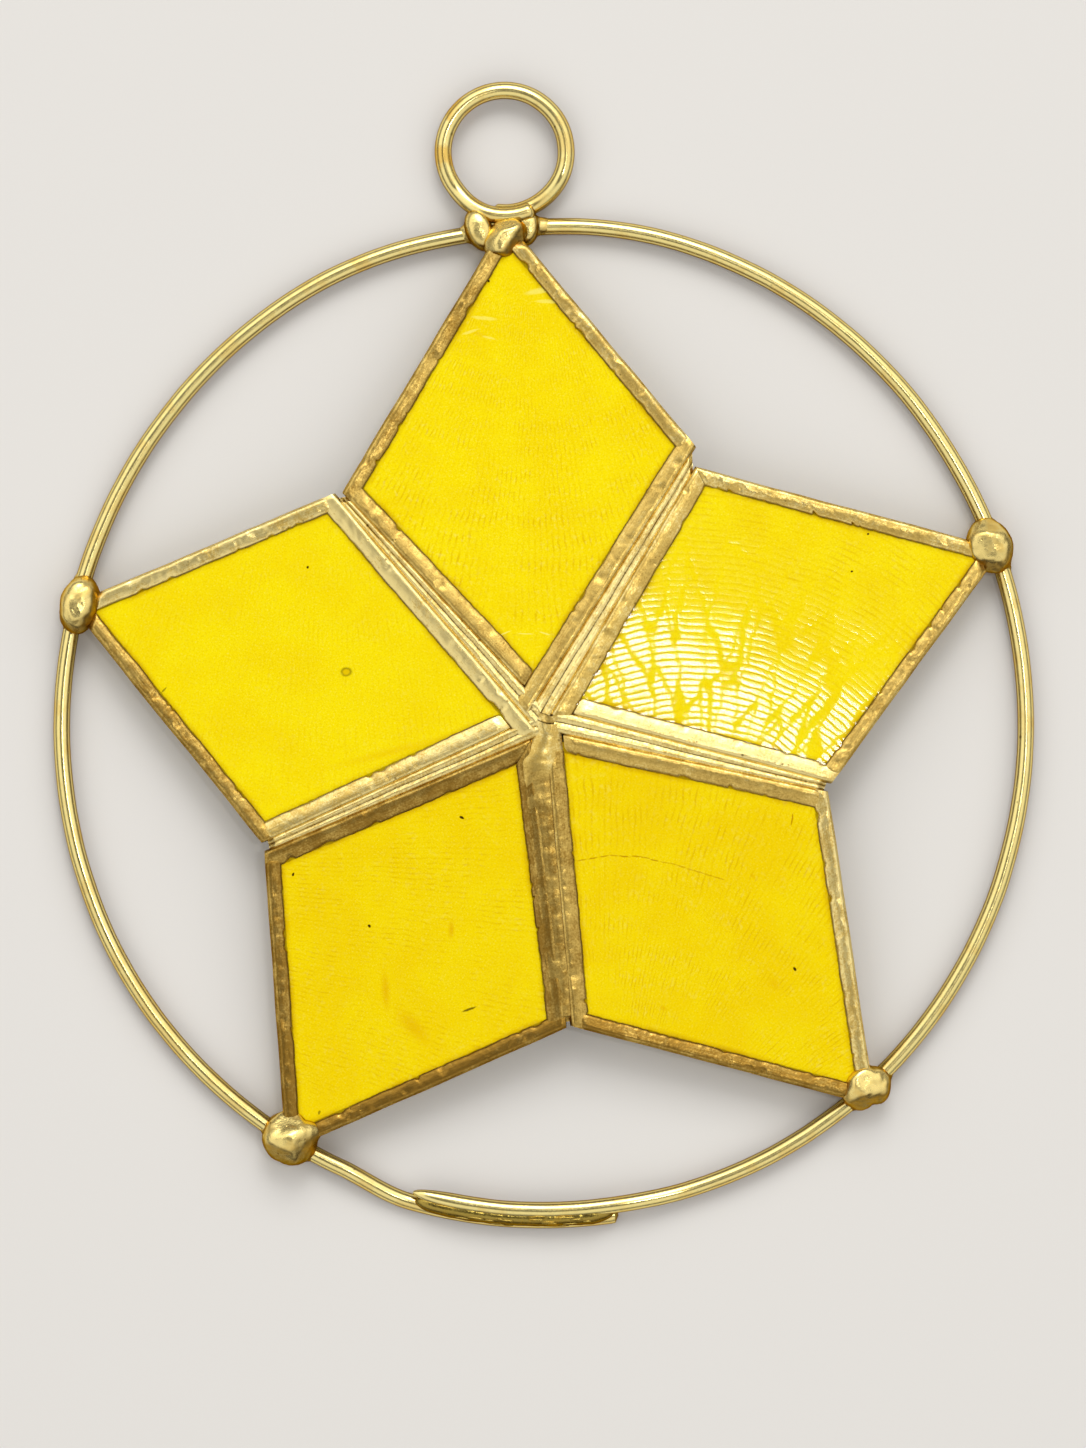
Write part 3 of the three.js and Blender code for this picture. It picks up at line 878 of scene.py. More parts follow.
def leg_section(start, width, top, lip, sheet, fold):
    """The folded strip's section as (across, height), from the front's inner edge round to the back's."""
    rounding = LIP_ROUNDING * sheet
    front = [(start, lip - sheet), (start, lip - rounding), (start + rounding, lip)]
    for step in range(1, FLANGE_STEPS):
        share = step / FLANGE_STEPS
        front.append((start + share * (width - fold - start), lip + (top - lip) * (1 - (1 - share) ** 2)))
    for step in range(FOLD_STEPS):
        bend = step / (FOLD_STEPS - 1) * math.pi / 2
        front.append((width - fold + fold * math.sin(bend), top - fold + fold * math.cos(bend)))
    back = [(across, -height) for across, height in reversed(front)]
    channel = [
        (width - fold, sheet - top), (width - sheet, fold - top),
        (width - sheet, top - fold), (width - fold, top - sheet),
    ]
    return front + back + channel


def crumple(along, across, seed):
    """Unevenness of sheet pressed by hand: soft waves, creases and a fine roughness."""
    soft, crisp, fine = CRUMPLE_WAVES, CRUMPLE_CREASES, CRUMPLE_GRAIN
    waves = ripple(along * 0.6, across, soft.length, seed + soft.offset)
    creases = abs(ripple(along * 0.8, across, crisp.length, seed + crisp.offset)) - CREASE_MIDDLE
    grain = ripple(along, across, fine.length, seed + fine.offset)
    return soft.depth * waves + crisp.depth * creases + fine.depth * grain


class Leg:
    """One side of a pane's edge strip, in the pane's own millimetres."""

    def __init__(self, pane, index, seed):
        star = settings().star
        points = [Vector(corner) for corner in pane.corners]
        runs = [(points[(turn + 1) % 4] - points[turn]).normalized() for turn in range(4)]
        widths = [(star.outer_flange if outer else star.seam_flange) / MM for outer in LEG_IS_OUTER]
        self.seed = seed
        self.outer = LEG_IS_OUTER[index]
        self.crumpled = OUTER_CRUMPLE if self.outer else 1.0
        self.start = points[index]
        self.run = runs[index]
        self.out = Vector((self.run.y, -self.run.x))
        self.size = (points[(index + 1) % 4] - points[index]).length
        self.width = widths[index]
        self.crown = pane.crowns[index]
        self.tarnish = pane.tarnish[index]
        self.sheet = star.sheet / MM
        self.fold = star.fold / MM
        self.half = star.strip_depth / MM / 2 - FACE_DROP
        after = (index + 1) % 4
        self.ends = (
            self.end_cut(pane, index, runs[index - 1], widths[index - 1], -1),
            self.end_cut(pane, after, runs[after], widths[after], 1),
        )
        maker = random.Random(seed)
        self.dents = [
            (maker.uniform(0, self.size), maker.uniform(DENT_INSET, self.width),
             maker.uniform(*DENT_REACH), maker.uniform(*DENT_DEPTH))
            for _ in range(DENTS[self.outer])
        ]
        self.tears = [
            (maker.uniform(TEAR_INSET, self.size - TEAR_INSET),
             maker.uniform(*TEAR_REACH), maker.uniform(*TEAR_DEPTH))
            for _ in range(TEARS[self.outer])
        ]

    def end_cut(self, pane, corner, other_run, other_width, direction):
        """How far this end runs past the corner at a distance across, and how far it is pressed down."""
        if CORNERS[corner] == "tip":
            return (lambda across: (TIP_CUT - self.out.x * across) / (self.run.x * direction)), TIP_PRESS
        other_out = Vector((other_run.y, -other_run.x))
        slide = self.run.dot(other_out) * direction
        lean = self.out.dot(other_out)
        if pane.on_top[corner] == "mitre":
            outer = (other_width - self.width * lean) / slide
            return (lambda across: across / self.width * outer - MITRE_GAP), 0.0
        under = pane.on_top[corner] != ("after" if direction < 0 else "before")
        over = pane.root_reach if CORNERS[corner] == "root" else OVER_REACH
        reach = (UNDER_REACH if under else over) * other_width
        if under and CORNERS[corner] == "root":
            reach = -ROOT_GAP
        return (lambda across: (reach - across * lean) / slide), LAP_PRESS if under else 0.0

    def section(self, place):
        """The section at a place along the leg, with the hand's unevenness."""
        pressed = 0.0
        for (_, press), inside in zip(self.ends, (place, self.size - place)):
            pressed = max(pressed, press * (1 - smooth_step(inside, *PRESS_RUN)))
        start = wave_height(EDGE_WAVE, place, self.seed) + wave_height(EDGE_KINKS, place, self.seed)
        for middle, reach, depth in self.tears:
            start += depth * max(0.0, 1 - abs(place - middle) / reach) ** TEAR_POWER
        width = self.width + wave_height(WIDTH_WAVE, place, self.seed)
        top = self.half - pressed + wave_height(TOP_WAVE, place, self.seed)
        lip = top * (FLAT_LIP + (ROUND_LIP - FLAT_LIP) * self.crown)
        return leg_section(start, width, top, lip, self.sheet, self.fold)

    def dented(self, along, across, height):
        """The height with the leg's dents and small unevenness, on both faces."""
        if abs(height) < self.half - 2 * self.fold:
            return height
        drop = crumple(along, across, self.seed) * self.crumpled
        for dent_along, dent_across, reach, depth in self.dents:
            away = ((along - dent_along) ** 2 + (across - dent_across) ** 2) / reach ** 2
            if away < 4:
                drop += depth * math.exp(-away * 2)
        return height - math.copysign(drop, height)

    def mesh(self, matrix, vertices, faces, attributes):
        """Adds the leg's points, faces and finish numbers to the strip's lists."""
        stations = int(self.size / LEG_STEP)
        first = len(vertices)
        start_cut, end_cut = self.ends[0][0], self.ends[1][0]
        for station in range(stations):
            share = station / (stations - 1)
            section = self.section(share * self.size)
            for across, height in section:
                past_start = start_cut(across)
                along = -past_start + share * (self.size + past_start + end_cut(across))
                to_end = min(share, 1 - share) * self.size
                rounding = END_ROUNDING * (1 - smooth_step(to_end, 0.0, END_RUN))
                tall = self.dented(along, across, height) * (1 - rounding)
                spot = self.start + self.run * along + self.out * across
                place = matrix @ Vector((spot.x, spot.y, max(min(tall, PROUD), -PROUD)))
                place.z = min(place.z, CAD_TOP)
                vertices.append(place)
                # The fold's painted highlight, uneven along the leg
                fold_highlight_strength = 0.5 + wave_height(FOLD_HIGHLIGHT_WAVE, along, self.seed)
                attributes["painted_fold_highlight"].append(fold_highlight_strength * smooth_step(across, self.width - FOLD_HIGHLIGHT_SPAN[0], self.width - FOLD_HIGHLIGHT_SPAN[1]))
                attributes["along"].append(along + LEG_SHIFT * self.seed)
                attributes["across"].append(across)
                attributes["tarnish"].append(self.tarnish + wave_height(TARNISH_WAVE, along, self.seed))
        faces.extend(swept_faces(first, stations, len(section)))


class CAPIZSTAR_OT_edge_strips(bpy.types.Operator):
    """Fold the brass strips round the panes"""

    bl_idname = "capiz_star.edge_strips"
    bl_label = "Edge Strips"

    def execute(self, context):
        material = strip_finish("Folded Brass")
        for number, pane in enumerate(PANES):
            vertices, faces = [], []
            attributes = {"along": [], "across": [], "tarnish": [], "painted_fold_highlight": []}
            for index in range(4):
                Leg(pane, index, 10 * number + index).mesh(pane_matrix(pane), vertices, faces, attributes)
            piece = mesh_piece(f"edge_strip_{pane.name}", vertices, faces, material, attributes)
            dress(piece, f"edge_binding_{pane.name}")
        return {"FINISHED"}


# Solder in the grooves

SEAM_STATIONS = 220
SEAM_ACROSS = 33
MOUTH_STEPS = 8
SEAM_END = 1.02  # the seams run out to the notches between the tips, as a share of their length
SEAM_BITE = 0.16  # how far the fill reaches into the strips' walls
SEAM_LENGTH = 28.0
SEAM_TAIL = 0.03  # over this share of its length a seam's outer end sinks
SEAM_SINK = 0.5  # by this, in millimetres
SEAM_LUMPS = Wave(0.04, 2.4, 3)  # in millimetres
SEAM_RIPPLES = Wave(0.03, 0.6)
SEAM_FLOOR = 0.2  # how far the fill's underside lies over the strips' backs, in millimetres
SEAM_TARNISH = Wave(0.12, 0.14)  # changes in its tarnish, with their length as a share of the seam
SEAM_SHIFT = 47.0  # keeps the noise of each seam apart from the next
SEAM_SEED = 60
RIDGE_DRIFT = Wave(0.05, 5.0)  # how far the ridges wander, as a share of the width
CREASE_WIDTH = 0.05  # of the creases along both edges, as a share of the width
DARK_CREASE = 0.12  # from this depth on creases get the full painted shade, in millimetres
DARK_VALLEY = 0.1  # and the valleys between ridges from this height of the ridges on
BOW_RUN = 0.06  # over this share of its length a bowed rim goes straight
RIM_EDGE = (0.7, 1.0)  # where the rims of a mouth get painted shade, from its middle outwards
SHINE_RUN = (-0.05, 0.2)  # between these shares of the seam a throat's shine ends


class Throat(NamedTuple):
    """The end of a groove's fill at the middle of the star, drawn in to a half tube."""

    insets: tuple  # in millimetres
    fades: tuple  # the shares of the seam between which its two sides go back to their usual insets
    leads: tuple  # how much further each side runs, as shares of the seam
    recess: float  # in millimetres, as in the groove
    crown: float
    mouth: float  # length of the open mouth, as a share of the seam
    bow: float  # how far the mouth's rims are bowed, in millimetres
    shine: float  # how much less tarnish and painted shade it gets


class Groove(NamedTuple):
    """How solder fills the groove between two panes, in millimetres."""

    start: float  # where the fill begins, as a share of the seam
    insets: tuple  # from the inner edges of the two flanges to the fill's edges
    recess: tuple  # depth of those edges below the strips' faces
    crown: float
    flatness: int  # 2 for a round crown, more for a flat one
    crevice: float  # depth of the creases along both edges
    ridges: int  # how many drawn ridges lie side by side
    ridge_height: float
    lining: float  # how closely it is lined by the drawing
    # tarnish of the fill together with painted shade, from 0 to 1
    tarnish: float
    throat: Throat = None


DEEP_GROOVE = Groove(
    start=-0.125, insets=(1.59, 1.59), recess=(0.4, 0.4), crown=0.08, flatness=2, crevice=0.14,
    ridges=2, ridge_height=0.17, lining=0.03, tarnish=0.12,
)
FLUSH_GROOVE = Groove(
    start=-0.148, insets=(0.45, 1.35), recess=(0.19, 0.3), crown=0.13, flatness=4, crevice=0.05,
    ridges=5, ridge_height=0.004, lining=0.012, tarnish=0.64,
    throat=Throat(
        insets=(2.1, 0.1), fades=((-0.1, 0.0), (0.0, 0.1)), leads=(0.027, -0.032), recess=0.42, crown=0.42,
        mouth=0.045, bow=0.4, shine=0.35,
    ),
)
SHORT_GROOVE = DEEP_GROOVE._replace(start=-0.07)
GROOVES = {"lower_left": FLUSH_GROOVE, "lower_right": SHORT_GROOVE}  # after these panes, and deep elsewhere


def groove_wall(pane, to_corner, share, inset, height):
    """A point beside the groove, at a distance from the inner edge of the pane's flange."""
    start = Vector(pane.corners[CORNERS.index("root")])
    end = Vector(pane.corners[CORNERS.index(to_corner)])
    run = (end - start).normalized()
    outward = Vector((-run.y, run.x)) if to_corner == "ccw" else Vector((run.y, -run.x))
    spot = start.lerp(end, share) + outward * inset
    return pane_matrix(pane) @ Vector((spot.x, spot.y, height))


def seam_section(pane, after, share, groove, seed, mouth):
    """The solder's section at a share of the seam's length, with how much painted shade each point gets in
    the creases.

    The mouth is how far the section lies into the open mouth of a half tube, from 0 to 1, or None.
    """
    star = settings().star
    half = star.strip_depth / MM / 2
    run = share * SEAM_LENGTH
    sunk = SEAM_SINK * smooth_step(share, SEAM_END - SEAM_TAIL, SEAM_END)
    shares, insets, recess, bow = [share, share], list(groove.insets), list(groove.recess), Vector()
    crown, flatness = groove.crown, groove.flatness
    if groove.throat:
        throat = groove.throat
        drawn_in = [1 - smooth_step(share, *fade) for fade in throat.fades]
        for side in range(2):
            shares[side] -= throat.leads[side] * drawn_in[side]
            insets[side] += (throat.insets[side] - insets[side]) * drawn_in[side]
            recess[side] += (throat.recess - recess[side]) * drawn_in[side]
        tube_crown = throat.crown if mouth is None else -throat.crown
        crown += (tube_crown - crown) * drawn_in[1]
        flatness += (2 - flatness) * drawn_in[1]
        if mouth is None:
            bowed = 1 - smooth_step(share, groove.start, groove.start + BOW_RUN)
        else:
            bowed = 1 - 2 * mouth
        ahead = groove_wall(pane, "ccw", 1.0, 0.0, 0.0) - groove_wall(pane, "ccw", 0.0, 0.0, 0.0)
        bow = ahead.normalized() * (bowed * throat.bow * MM)
    left = groove_wall(pane, "ccw", shares[0], insets[0], half - recess[0] - sunk)
    right = groove_wall(after, "cw", shares[1], insets[1], half - recess[1] - sunk)
    drift = wave_height(RIDGE_DRIFT, run, seed)
    points, hollows = [], []
    for step in range(SEAM_ACROSS):
        across = step / (SEAM_ACROSS - 1)
        side = min(across, 1 - across)
        crease = math.exp(-(side / CREASE_WIDTH) ** 2)
        bulge = crown * (1 - abs(2 * across - 1) ** flatness)
        ridge = abs(math.sin(math.pi * groove.ridges * (across + drift * side * 2)))
        lump = wave_height(SEAM_LUMPS, run, seed)
        lump += SEAM_RIPPLES.depth * ripple(run, across * 1.4, SEAM_RIPPLES.length, seed)
        rise = bulge + groove.ridge_height * ridge + lump - groove.crevice * crease
        raised = left.lerp(right, across) + Vector((0, 0, rise * MM))
        points.append(raised + bow * (4 * across * (1 - across)))
        # Painted shade in the valleys, the creases and a mouth's rims
        valley = (1 - ridge) ** 5 * min(groove.ridge_height / DARK_VALLEY, 1.0)
        crease *= min(groove.crevice / DARK_CREASE, 1.0)
        rim = 0.0 if mouth is None else smooth_step(abs(2 * mouth - 1), *RIM_EDGE)
        hollows.append(min(crease + valley + rim, 1.0))
    wall = star.seam_flange / MM - SEAM_BITE
    points.append(groove_wall(after, "cw", share, wall, SEAM_FLOOR - half))
    points.append(groove_wall(pane, "ccw", share, wall, SEAM_FLOOR - half))
    return points, hollows + [1.0, 1.0]


class CAPIZSTAR_OT_seam_solder(bpy.types.Operator):
    """Fill the grooves between the panes with solder"""

    bl_idname = "capiz_star.seam_solder"
    bl_label = "Seam Solder"

    def execute(self, context):
        material = strip_finish("Drawn Solder")
        for number, pane in enumerate(PANES):
            after = PANES[(number + 1) % len(PANES)]
            groove = GROOVES.get(pane.name, DEEP_GROOVE)
            stations = [
                (groove.start + step / (SEAM_STATIONS - 1) * (SEAM_END - groove.start), None)
                for step in range(SEAM_STATIONS)
            ]
            if groove.throat:
                into = [step / MOUTH_STEPS for step in range(MOUTH_STEPS, -1, -1)]
                stations = [(groove.start - groove.throat.mouth * mouth, mouth) for mouth in into] + stations
            vertices = []
            attributes = {"along": [], "across": [], "tarnish": [], "painted_crease_shade": []}
            for share, mouth in stations:
                points, hollows = seam_section(pane, after, share, groove, SEAM_SEED + number, mouth)
                vertices.extend(points)
                tarnish = groove.tarnish + wave_height(SEAM_TARNISH, share, number)
                if groove.throat:
                    tarnish -= groove.throat.shine * (1 - smooth_step(share, *SHINE_RUN))
                attributes["painted_crease_shade"].extend(hollows)
                attributes["along"].extend([share * SEAM_LENGTH + SEAM_SHIFT * number] * len(points))
                attributes["across"].extend(1.0 + step * groove.lining for step in range(len(points)))
                attributes["tarnish"].extend([tarnish] * len(points))
            for vertex in vertices:
                vertex.z = min(vertex.z, CAD_TOP)
            faces = swept_faces(0, len(stations), SEAM_ACROSS + 2)
            name = f"{pane.name}_{after.name}"
            piece = mesh_piece(f"groove_solder_{name}", vertices, faces, material, attributes)
            dress(piece, f"seam_solder_{name}")
        return {"FINISHED"}


# Lumps of solder

class Blob(NamedTuple):
    """An egg-shaped part of a lump, placed from the lump's middle, in millimetres and degrees."""

    at: tuple
    size: tuple
    turn: float = 0.0


class Lump(NamedTuple):
    """A lump of solder: its middle, the blobs that ran together in it and how uneven it set."""

    middle: tuple
    blobs: tuple
    roughness: float
    facets: int = 0  # flats that the iron left
    cap: Blob = None  # a wider blob that the lump's top is pressed down to


LUMP_DETAIL = 5
TIP_SEED = 1
FOOT_SEED = 11
LUMP_BLEND = 8.0  # the higher, the sharper the creases between the blobs
CAP_BLEND = 8.0
FACET_BLEND = 24.0
FACET_DEPTH = (0.82, 0.95)  # where the flats cut a lump, as shares of its reach
FACET_SPREAD = 0.6  # how far the flats lean away from the front
LUMP_SWELLS = (0.6, 0.6)  # waves for each millimetre, and height as a share of the lump's roughness
LUMP_CREASES = (1.2, 0.5)
LUMP_GRAIN = (4.0, 0.1)


def blob_reach(blob, direction):
    """How far a ray from the lump's middle goes before it leaves the blob for good."""
    turn = Matrix.Rotation(-math.radians(blob.turn), 3, "Z")
    start = turn @ -Vector(blob.at)
    ray = turn @ direction
    half = Vector(blob.size) / 2
    start = Vector((start.x / half.x, start.y / half.y, start.z / half.z))
    ray = Vector((ray.x / half.x, ray.y / half.y, ray.z / half.z))
    across = start.dot(ray)
    inside = across ** 2 - ray.length_squared * (start.length_squared - 1)
    if inside < 0:
        return 0.0
    return max((math.sqrt(inside) - across) / ray.length_squared, 0.0)


def lump_reach(lump, direction):
    """How far the lump reaches from its middle, under its cap."""
    reach = sum(blob_reach(blob, direction) ** LUMP_BLEND for blob in lump.blobs) ** (1 / LUMP_BLEND)
    if lump.cap:
        capped = blob_reach(lump.cap, direction)
        reach = (reach ** -CAP_BLEND + capped ** -CAP_BLEND) ** (-1 / CAP_BLEND)
    return reach


def lump_mesh(lump, middle, turn, seed):
    """Points and faces of a lump of solder about its middle, in millimetres, cut flat at the table."""
    maker = random.Random(seed)
    flats = []
    for _ in range(lump.facets):
        facing = Vector((maker.gauss(0, FACET_SPREAD), maker.gauss(0, FACET_SPREAD), 1.0)).normalized()
        flats.append((facing, lump_reach(lump, facing) * maker.uniform(*FACET_DEPTH)))
    ball = bmesh.new()
    bmesh.ops.create_icosphere(ball, subdivisions=LUMP_DETAIL, radius=1.0)
    rotation = Matrix.Rotation(math.radians(turn), 3, "Z")
    vertices = []
    for point in ball.verts:
        direction = point.co.normalized()
        nearness = lump_reach(lump, direction) ** -FACET_BLEND
        for facing, distance in flats:
            nearness += (max(direction.dot(facing), 0.0) / distance) ** FACET_BLEND
        spot = direction * nearness ** (-1 / FACET_BLEND)
        # The seed moves each noise to a place of its own
        soft = noise.noise(spot * LUMP_SWELLS[0] + Vector((seed * 5.1, 0.3, 0.7)))
        crisp = abs(noise.noise(spot * LUMP_CREASES[0] + Vector((0.9, seed * 2.3, 0.1)))) - CREASE_MIDDLE
        fine = noise.noise(spot * LUMP_GRAIN[0] + Vector((0.2, 0.4, seed * 1.9)))
        uneven = LUMP_SWELLS[1] * soft - LUMP_CREASES[1] * crisp + LUMP_GRAIN[1] * fine
        spot *= 1 + lump.roughness * uneven
        place = Vector(middle) + rotation @ spot
        place.z = max(place.z, 0.0)
        vertices.append(place * MM)
    faces = [[corner.index for corner in face.verts] for face in ball.faces]
    ball.free()
    return vertices, faces


def star_place(along, across, axis):
    """A point in a pane's direction, from its plan place to the ornament's millimetres."""
    turn = math.radians(axis)
    return (
        STAR_MIDDLE[0] / MM + along * math.cos(turn) - across * math.sin(turn),
        STAR_MIDDLE[1] / MM + along * math.sin(turn) + across * math.cos(turn),
    )


# At each tip, with places along and across the pane's axis. The blob that is long across the axis has run
# out along the ring's wire.
TIP_LUMPS = {
    "top": Lump((46.1, 0.15, 2.4), (
        Blob((-0.2, -0.1, 0), (3.7, 3.4, 8.0)),
        Blob((-0.1, 0.1, 0.4), (4.4, 2.6, 8.0), -56),
        Blob((0.4, -1.5, -0.6), (2.0, 2.2, 2.8)),
    ), roughness=0.06, facets=6, cap=Blob((0, 0, -1.1), (8.4, 8.8, 7.2))),
    "left": Lump((45.6, -0.3, 2.3), (
        Blob((0, 0, 0), (3.7, 5.6, 10.0)),
        Blob((-0.5, 0.1, 0.8), (2.6, 4.4, 3.3)),
        Blob((0.44, 0, -0.98), (1.75, 6.8, 1.75)),
    ), roughness=0.1, cap=Blob((0, 0, -0.7), (8.0, 10.0, 7.2))),
    "lower_left": Lump((46.6, 0.2, 2.4), (
        Blob((0.1, 0, 0), (5.0, 5.4, 10.0)),
        Blob((-1.2, 1.2, 1.2), (2.7, 2.2, 2.4), -34),
        Blob((-1.2, -0.7, 1.2), (2.7, 2.2, 2.4), 35),
        Blob((0.4, 0, -1.05), (1.75, 7.6, 1.75)),
    ), roughness=0.07, facets=4, cap=Blob((0, 0, -0.9), (10.0, 10.6, 7.6))),
    "lower_right": Lump((46.5, 0.6, 2.2), (
        Blob((-0.6, -0.4, 0.4), (2.7, 4.2, 8.0), 12),
        Blob((0.7, 0.9, -0.1), (3.6, 2.6, 6.0), -40),
        Blob((0.6, -1.0, 0), (2.4, 2.6, 4.6)),
        Blob((0.35, 0, -0.88), (1.75, 6.8, 1.75)),
    ), roughness=0.08, facets=8, cap=Blob((0, 0, -0.8), (9.0, 9.5, 7.2))),
    "right": Lump((45.6, -0.95, 2.3), (
        Blob((0, 0, 0), (4.2, 5.4, 10.0)),
        Blob((-0.6, -0.1, 0.8), (3.0, 4.2, 3.5)),
        Blob((0.53, 0, -0.98), (1.75, 7.0, 1.75)),
    ), roughness=0.08, facets=10, cap=Blob((0, 0, -0.7), (9.0, 10.5, 7.2))),
}

# On both sides of the loop's foot, with places from the middle of the star
LOOP_LUMPS = {
    "left": Lump((-2.5, 47.0, 1.8), (
        Blob((0, 0, 0), (2.6, 4.2, 7.0), 18),
        Blob((-0.9, -0.2, -0.45), (2.8, 1.75, 1.75), 4),
    ), roughness=0.04, cap=Blob((0, 0, -0.6), (6.0, 8.4, 5.0), 18)),
    "right": Lump((2.1, 46.9, 1.4), (
        Blob((-0.1, 0, 0), (2.4, 3.5, 5.0), -12),
        Blob((1.1, 0.1, -0.05), (3.4, 1.75, 1.75), -5),
    ), roughness=0.04, cap=Blob((0, 0, -0.7), (7.0, 7.4, 4.4))),
}


class CAPIZSTAR_OT_solder_lumps(bpy.types.Operator):
    """Drop the lumps of solder at the star's tips and the loop's foot"""

    bl_idname = "capiz_star.solder_lumps"
    bl_label = "Solder Lumps"

    def execute(self, context):
        material = solder_finish("Lump Solder", "solder_gold", roughness=0.18, painted_flank_shade=(0.25, 0.8))
        for number, pane in enumerate(PANES):
            lump = TIP_LUMPS[pane.name]
            along, across, height = lump.middle
            middle = (*star_place(along, across, pane.axis), height)
            vertices, faces = lump_mesh(lump, middle, pane.axis, TIP_SEED + number)
            piece = mesh_piece(f"tip_lump_{pane.name}", vertices, faces, material)
            dress(piece, f"tip_solder_{pane.name}")
        for number, (side, lump) in enumerate(LOOP_LUMPS.items()):
            middle = Vector(STAR_MIDDLE) / MM + Vector(lump.middle)
            vertices, faces = lump_mesh(lump, middle, 0.0, FOOT_SEED + number)
            piece = mesh_piece(f"foot_lump_{side}", vertices, faces, material)
            dress(piece, f"loop_solder_{side}")
        return {"FINISHED"}


# Wires

RING_LAP = {
    "Start": math.radians(250), "End": math.radians(274), "Blend": math.radians(9),
    "Inner": 0.2 * MM, "Inner Rise": 0.5 * MM, "Outer": 0.85 * MM, "Outer Rise": -0.52 * MM,
}
LOOP_LAP = {
    "Start": math.radians(-106), "End": math.radians(-68), "Blend": math.radians(45),
    "Inner": 0.15 * MM, "Inner Rise": -0.82 * MM, "Outer": 0.3 * MM, "Outer Rise": 0.82 * MM,
}
LAP_BEAD = {"start": 250.5, "end": 273.5, "out": 0.5, "up": 0.2, "width": 1.75}
LAP_FLAKES = 0.7e6  # for each square metre


def ring_shape():
    wires = settings().wires
    return {
        "Radius": wires.ring_radius,
        "Oval": wires.ring_oval,
        "Pear": wires.ring_pear,
        "Long Axis": wires.ring_axis,
        "Dip Turn": wires.dip_turn,
        "Dip Spread": wires.dip_spread,
        "Dip Depth": wires.dip_depth,
        "Unevenness": wires.unevenness,
        "Seed": 1.0,
        "Flakes": 0.0,
        "Flake Length": MM,
    }


class CAPIZSTAR_OT_wires(bpy.types.Operator):
    """Bend the ring, the hanging loop and the bead of solder in the ring's lap"""

    bl_idname = "capiz_star.wires"
    bl_label = "Wires"

    def execute(self, context):
        wires = settings().wires
        tree = bent_wire_tree()
        gold = wire_finish()
        ring = ring_shape()
        ring.update(RING_LAP)
        ring.update({
            "Centre": Vector(STAR_MIDDLE) + Vector((0, 0, wires.ring_height)),
            "Thickness": wires.ring_wire,
            "Steps": 900, "Sides": 20, "Material": gold,
            "Start Taper": 4.2 * MM, "End Taper": 0.5 * MM,
            "Lumps": 0.05, "Lump Size": 3 * MM,
        })
        dress(node_piece("ring_wire", tree, ring), "outer_ring")

        loop = ring_shape()
        loop.update({name: 0.0 for name in ("Oval", "Pear", "Dip Depth")})
        loop.update(LOOP_LAP)
        loop.update({
            "Centre": Vector(EYE), "Radius": wires.loop_radius, "Thickness": wires.loop_wire,
            "Steps": 260, "Sides": 22, "Material": gold,
            "Start Taper": 0.5 * MM, "End Taper": 0.5 * MM,
            "Lumps": 0.05, "Lump Size": 3 * MM, "Seed": 2.0,
        })
        dress(node_piece("loop_wire", tree, loop), "hanging_loop")

        bead = ring_shape()
        bead.update({name: 0.0 for name in ("Inner", "Inner Rise", "Outer", "Outer Rise")})
        bead["Radius"] += LAP_BEAD["out"] * MM
        bead.update({
            "Centre": Vector(STAR_MIDDLE) + Vector((0, 0, wires.ring_height + LAP_BEAD["up"] * MM)),
            "Start": math.radians(LAP_BEAD["start"]),
            "End": math.radians(LAP_BEAD["end"]) - FULL_TURN,
            "Blend": 1.0, "Thickness": LAP_BEAD["width"] * MM,
            "Steps": 240, "Sides": 16,
            "Material": solder_finish("Lap Solder", "lap_tarnish_and_shade", roughness=0.16, painted_flank_shade=(0.3, 0.8)),
            "Start Taper": 2.5 * MM, "End Taper": 2.5 * MM,
            "Lumps": 0.3, "Lump Size": 1.6 * MM,
            "Flakes": LAP_FLAKES, "Flake Length": 0.9 * MM,
        })
        dress(node_piece("lap_bead", tree, bead), "ring_lap_solder")
        return {"FINISHED"}


# Shared effects of the finishes

def shared_group(name, build):
    """The shader group of that name, built once."""
    return bpy.data.node_groups.get(name) or build(name)


CLOUD_EDGE = (0.34, 0.66)
GRAIN_SIZE = 0.11  # as a share of the clouds' size
PITS_ACROSS = 3.2  # how many pits would fit across a cloud
PITTED = (0.80, 0.84)  # only the places over this value have a pit
PIT_EDGE = (0.10, 0.24)


def mottle_group(name):
    """Clouds of tarnish, a fine grain and small pits."""
    inputs = {"Vector": "Vector", "Size": "Float", "Seed": "Float"}
    tree, make, given, output = new_tree(name, "ShaderNodeTree", inputs, {
        "Clouds": "Float", "Grain": "Float", "Pits": "Float", "Height": "Float",
    })
    place = make.scaled(given["Vector"], 1.0 / given["Size"])
    clouds = make.ramp(make.noise(place, 1.0, 4.0, given["Seed"]), *CLOUD_EDGE)
    grain = make.noise(place, GRAIN_SIZE, 3.0, given["Seed"])
    values = {"Vector": place, "W": given["Seed"], "Scale": PITS_ACROSS}
    cells = make.add("ShaderNodeTexVoronoi", values, voronoi_dimensions="4D")
    chosen = make.add("ShaderNodeSeparateColor", {0: make.field(cells, "Color")})
    chosen = make.ramp(make.field(chosen, 0), *PITTED)
    pits = make.ramp(make.field(cells, "Distance"), *PIT_EDGE, 1.0, 0.0) * chosen
    height = clouds * 0.3 + grain * 0.5 - pits
    make.put_out(output, Clouds=clouds, Grain=grain, Pits=pits, Height=height)
    return tree


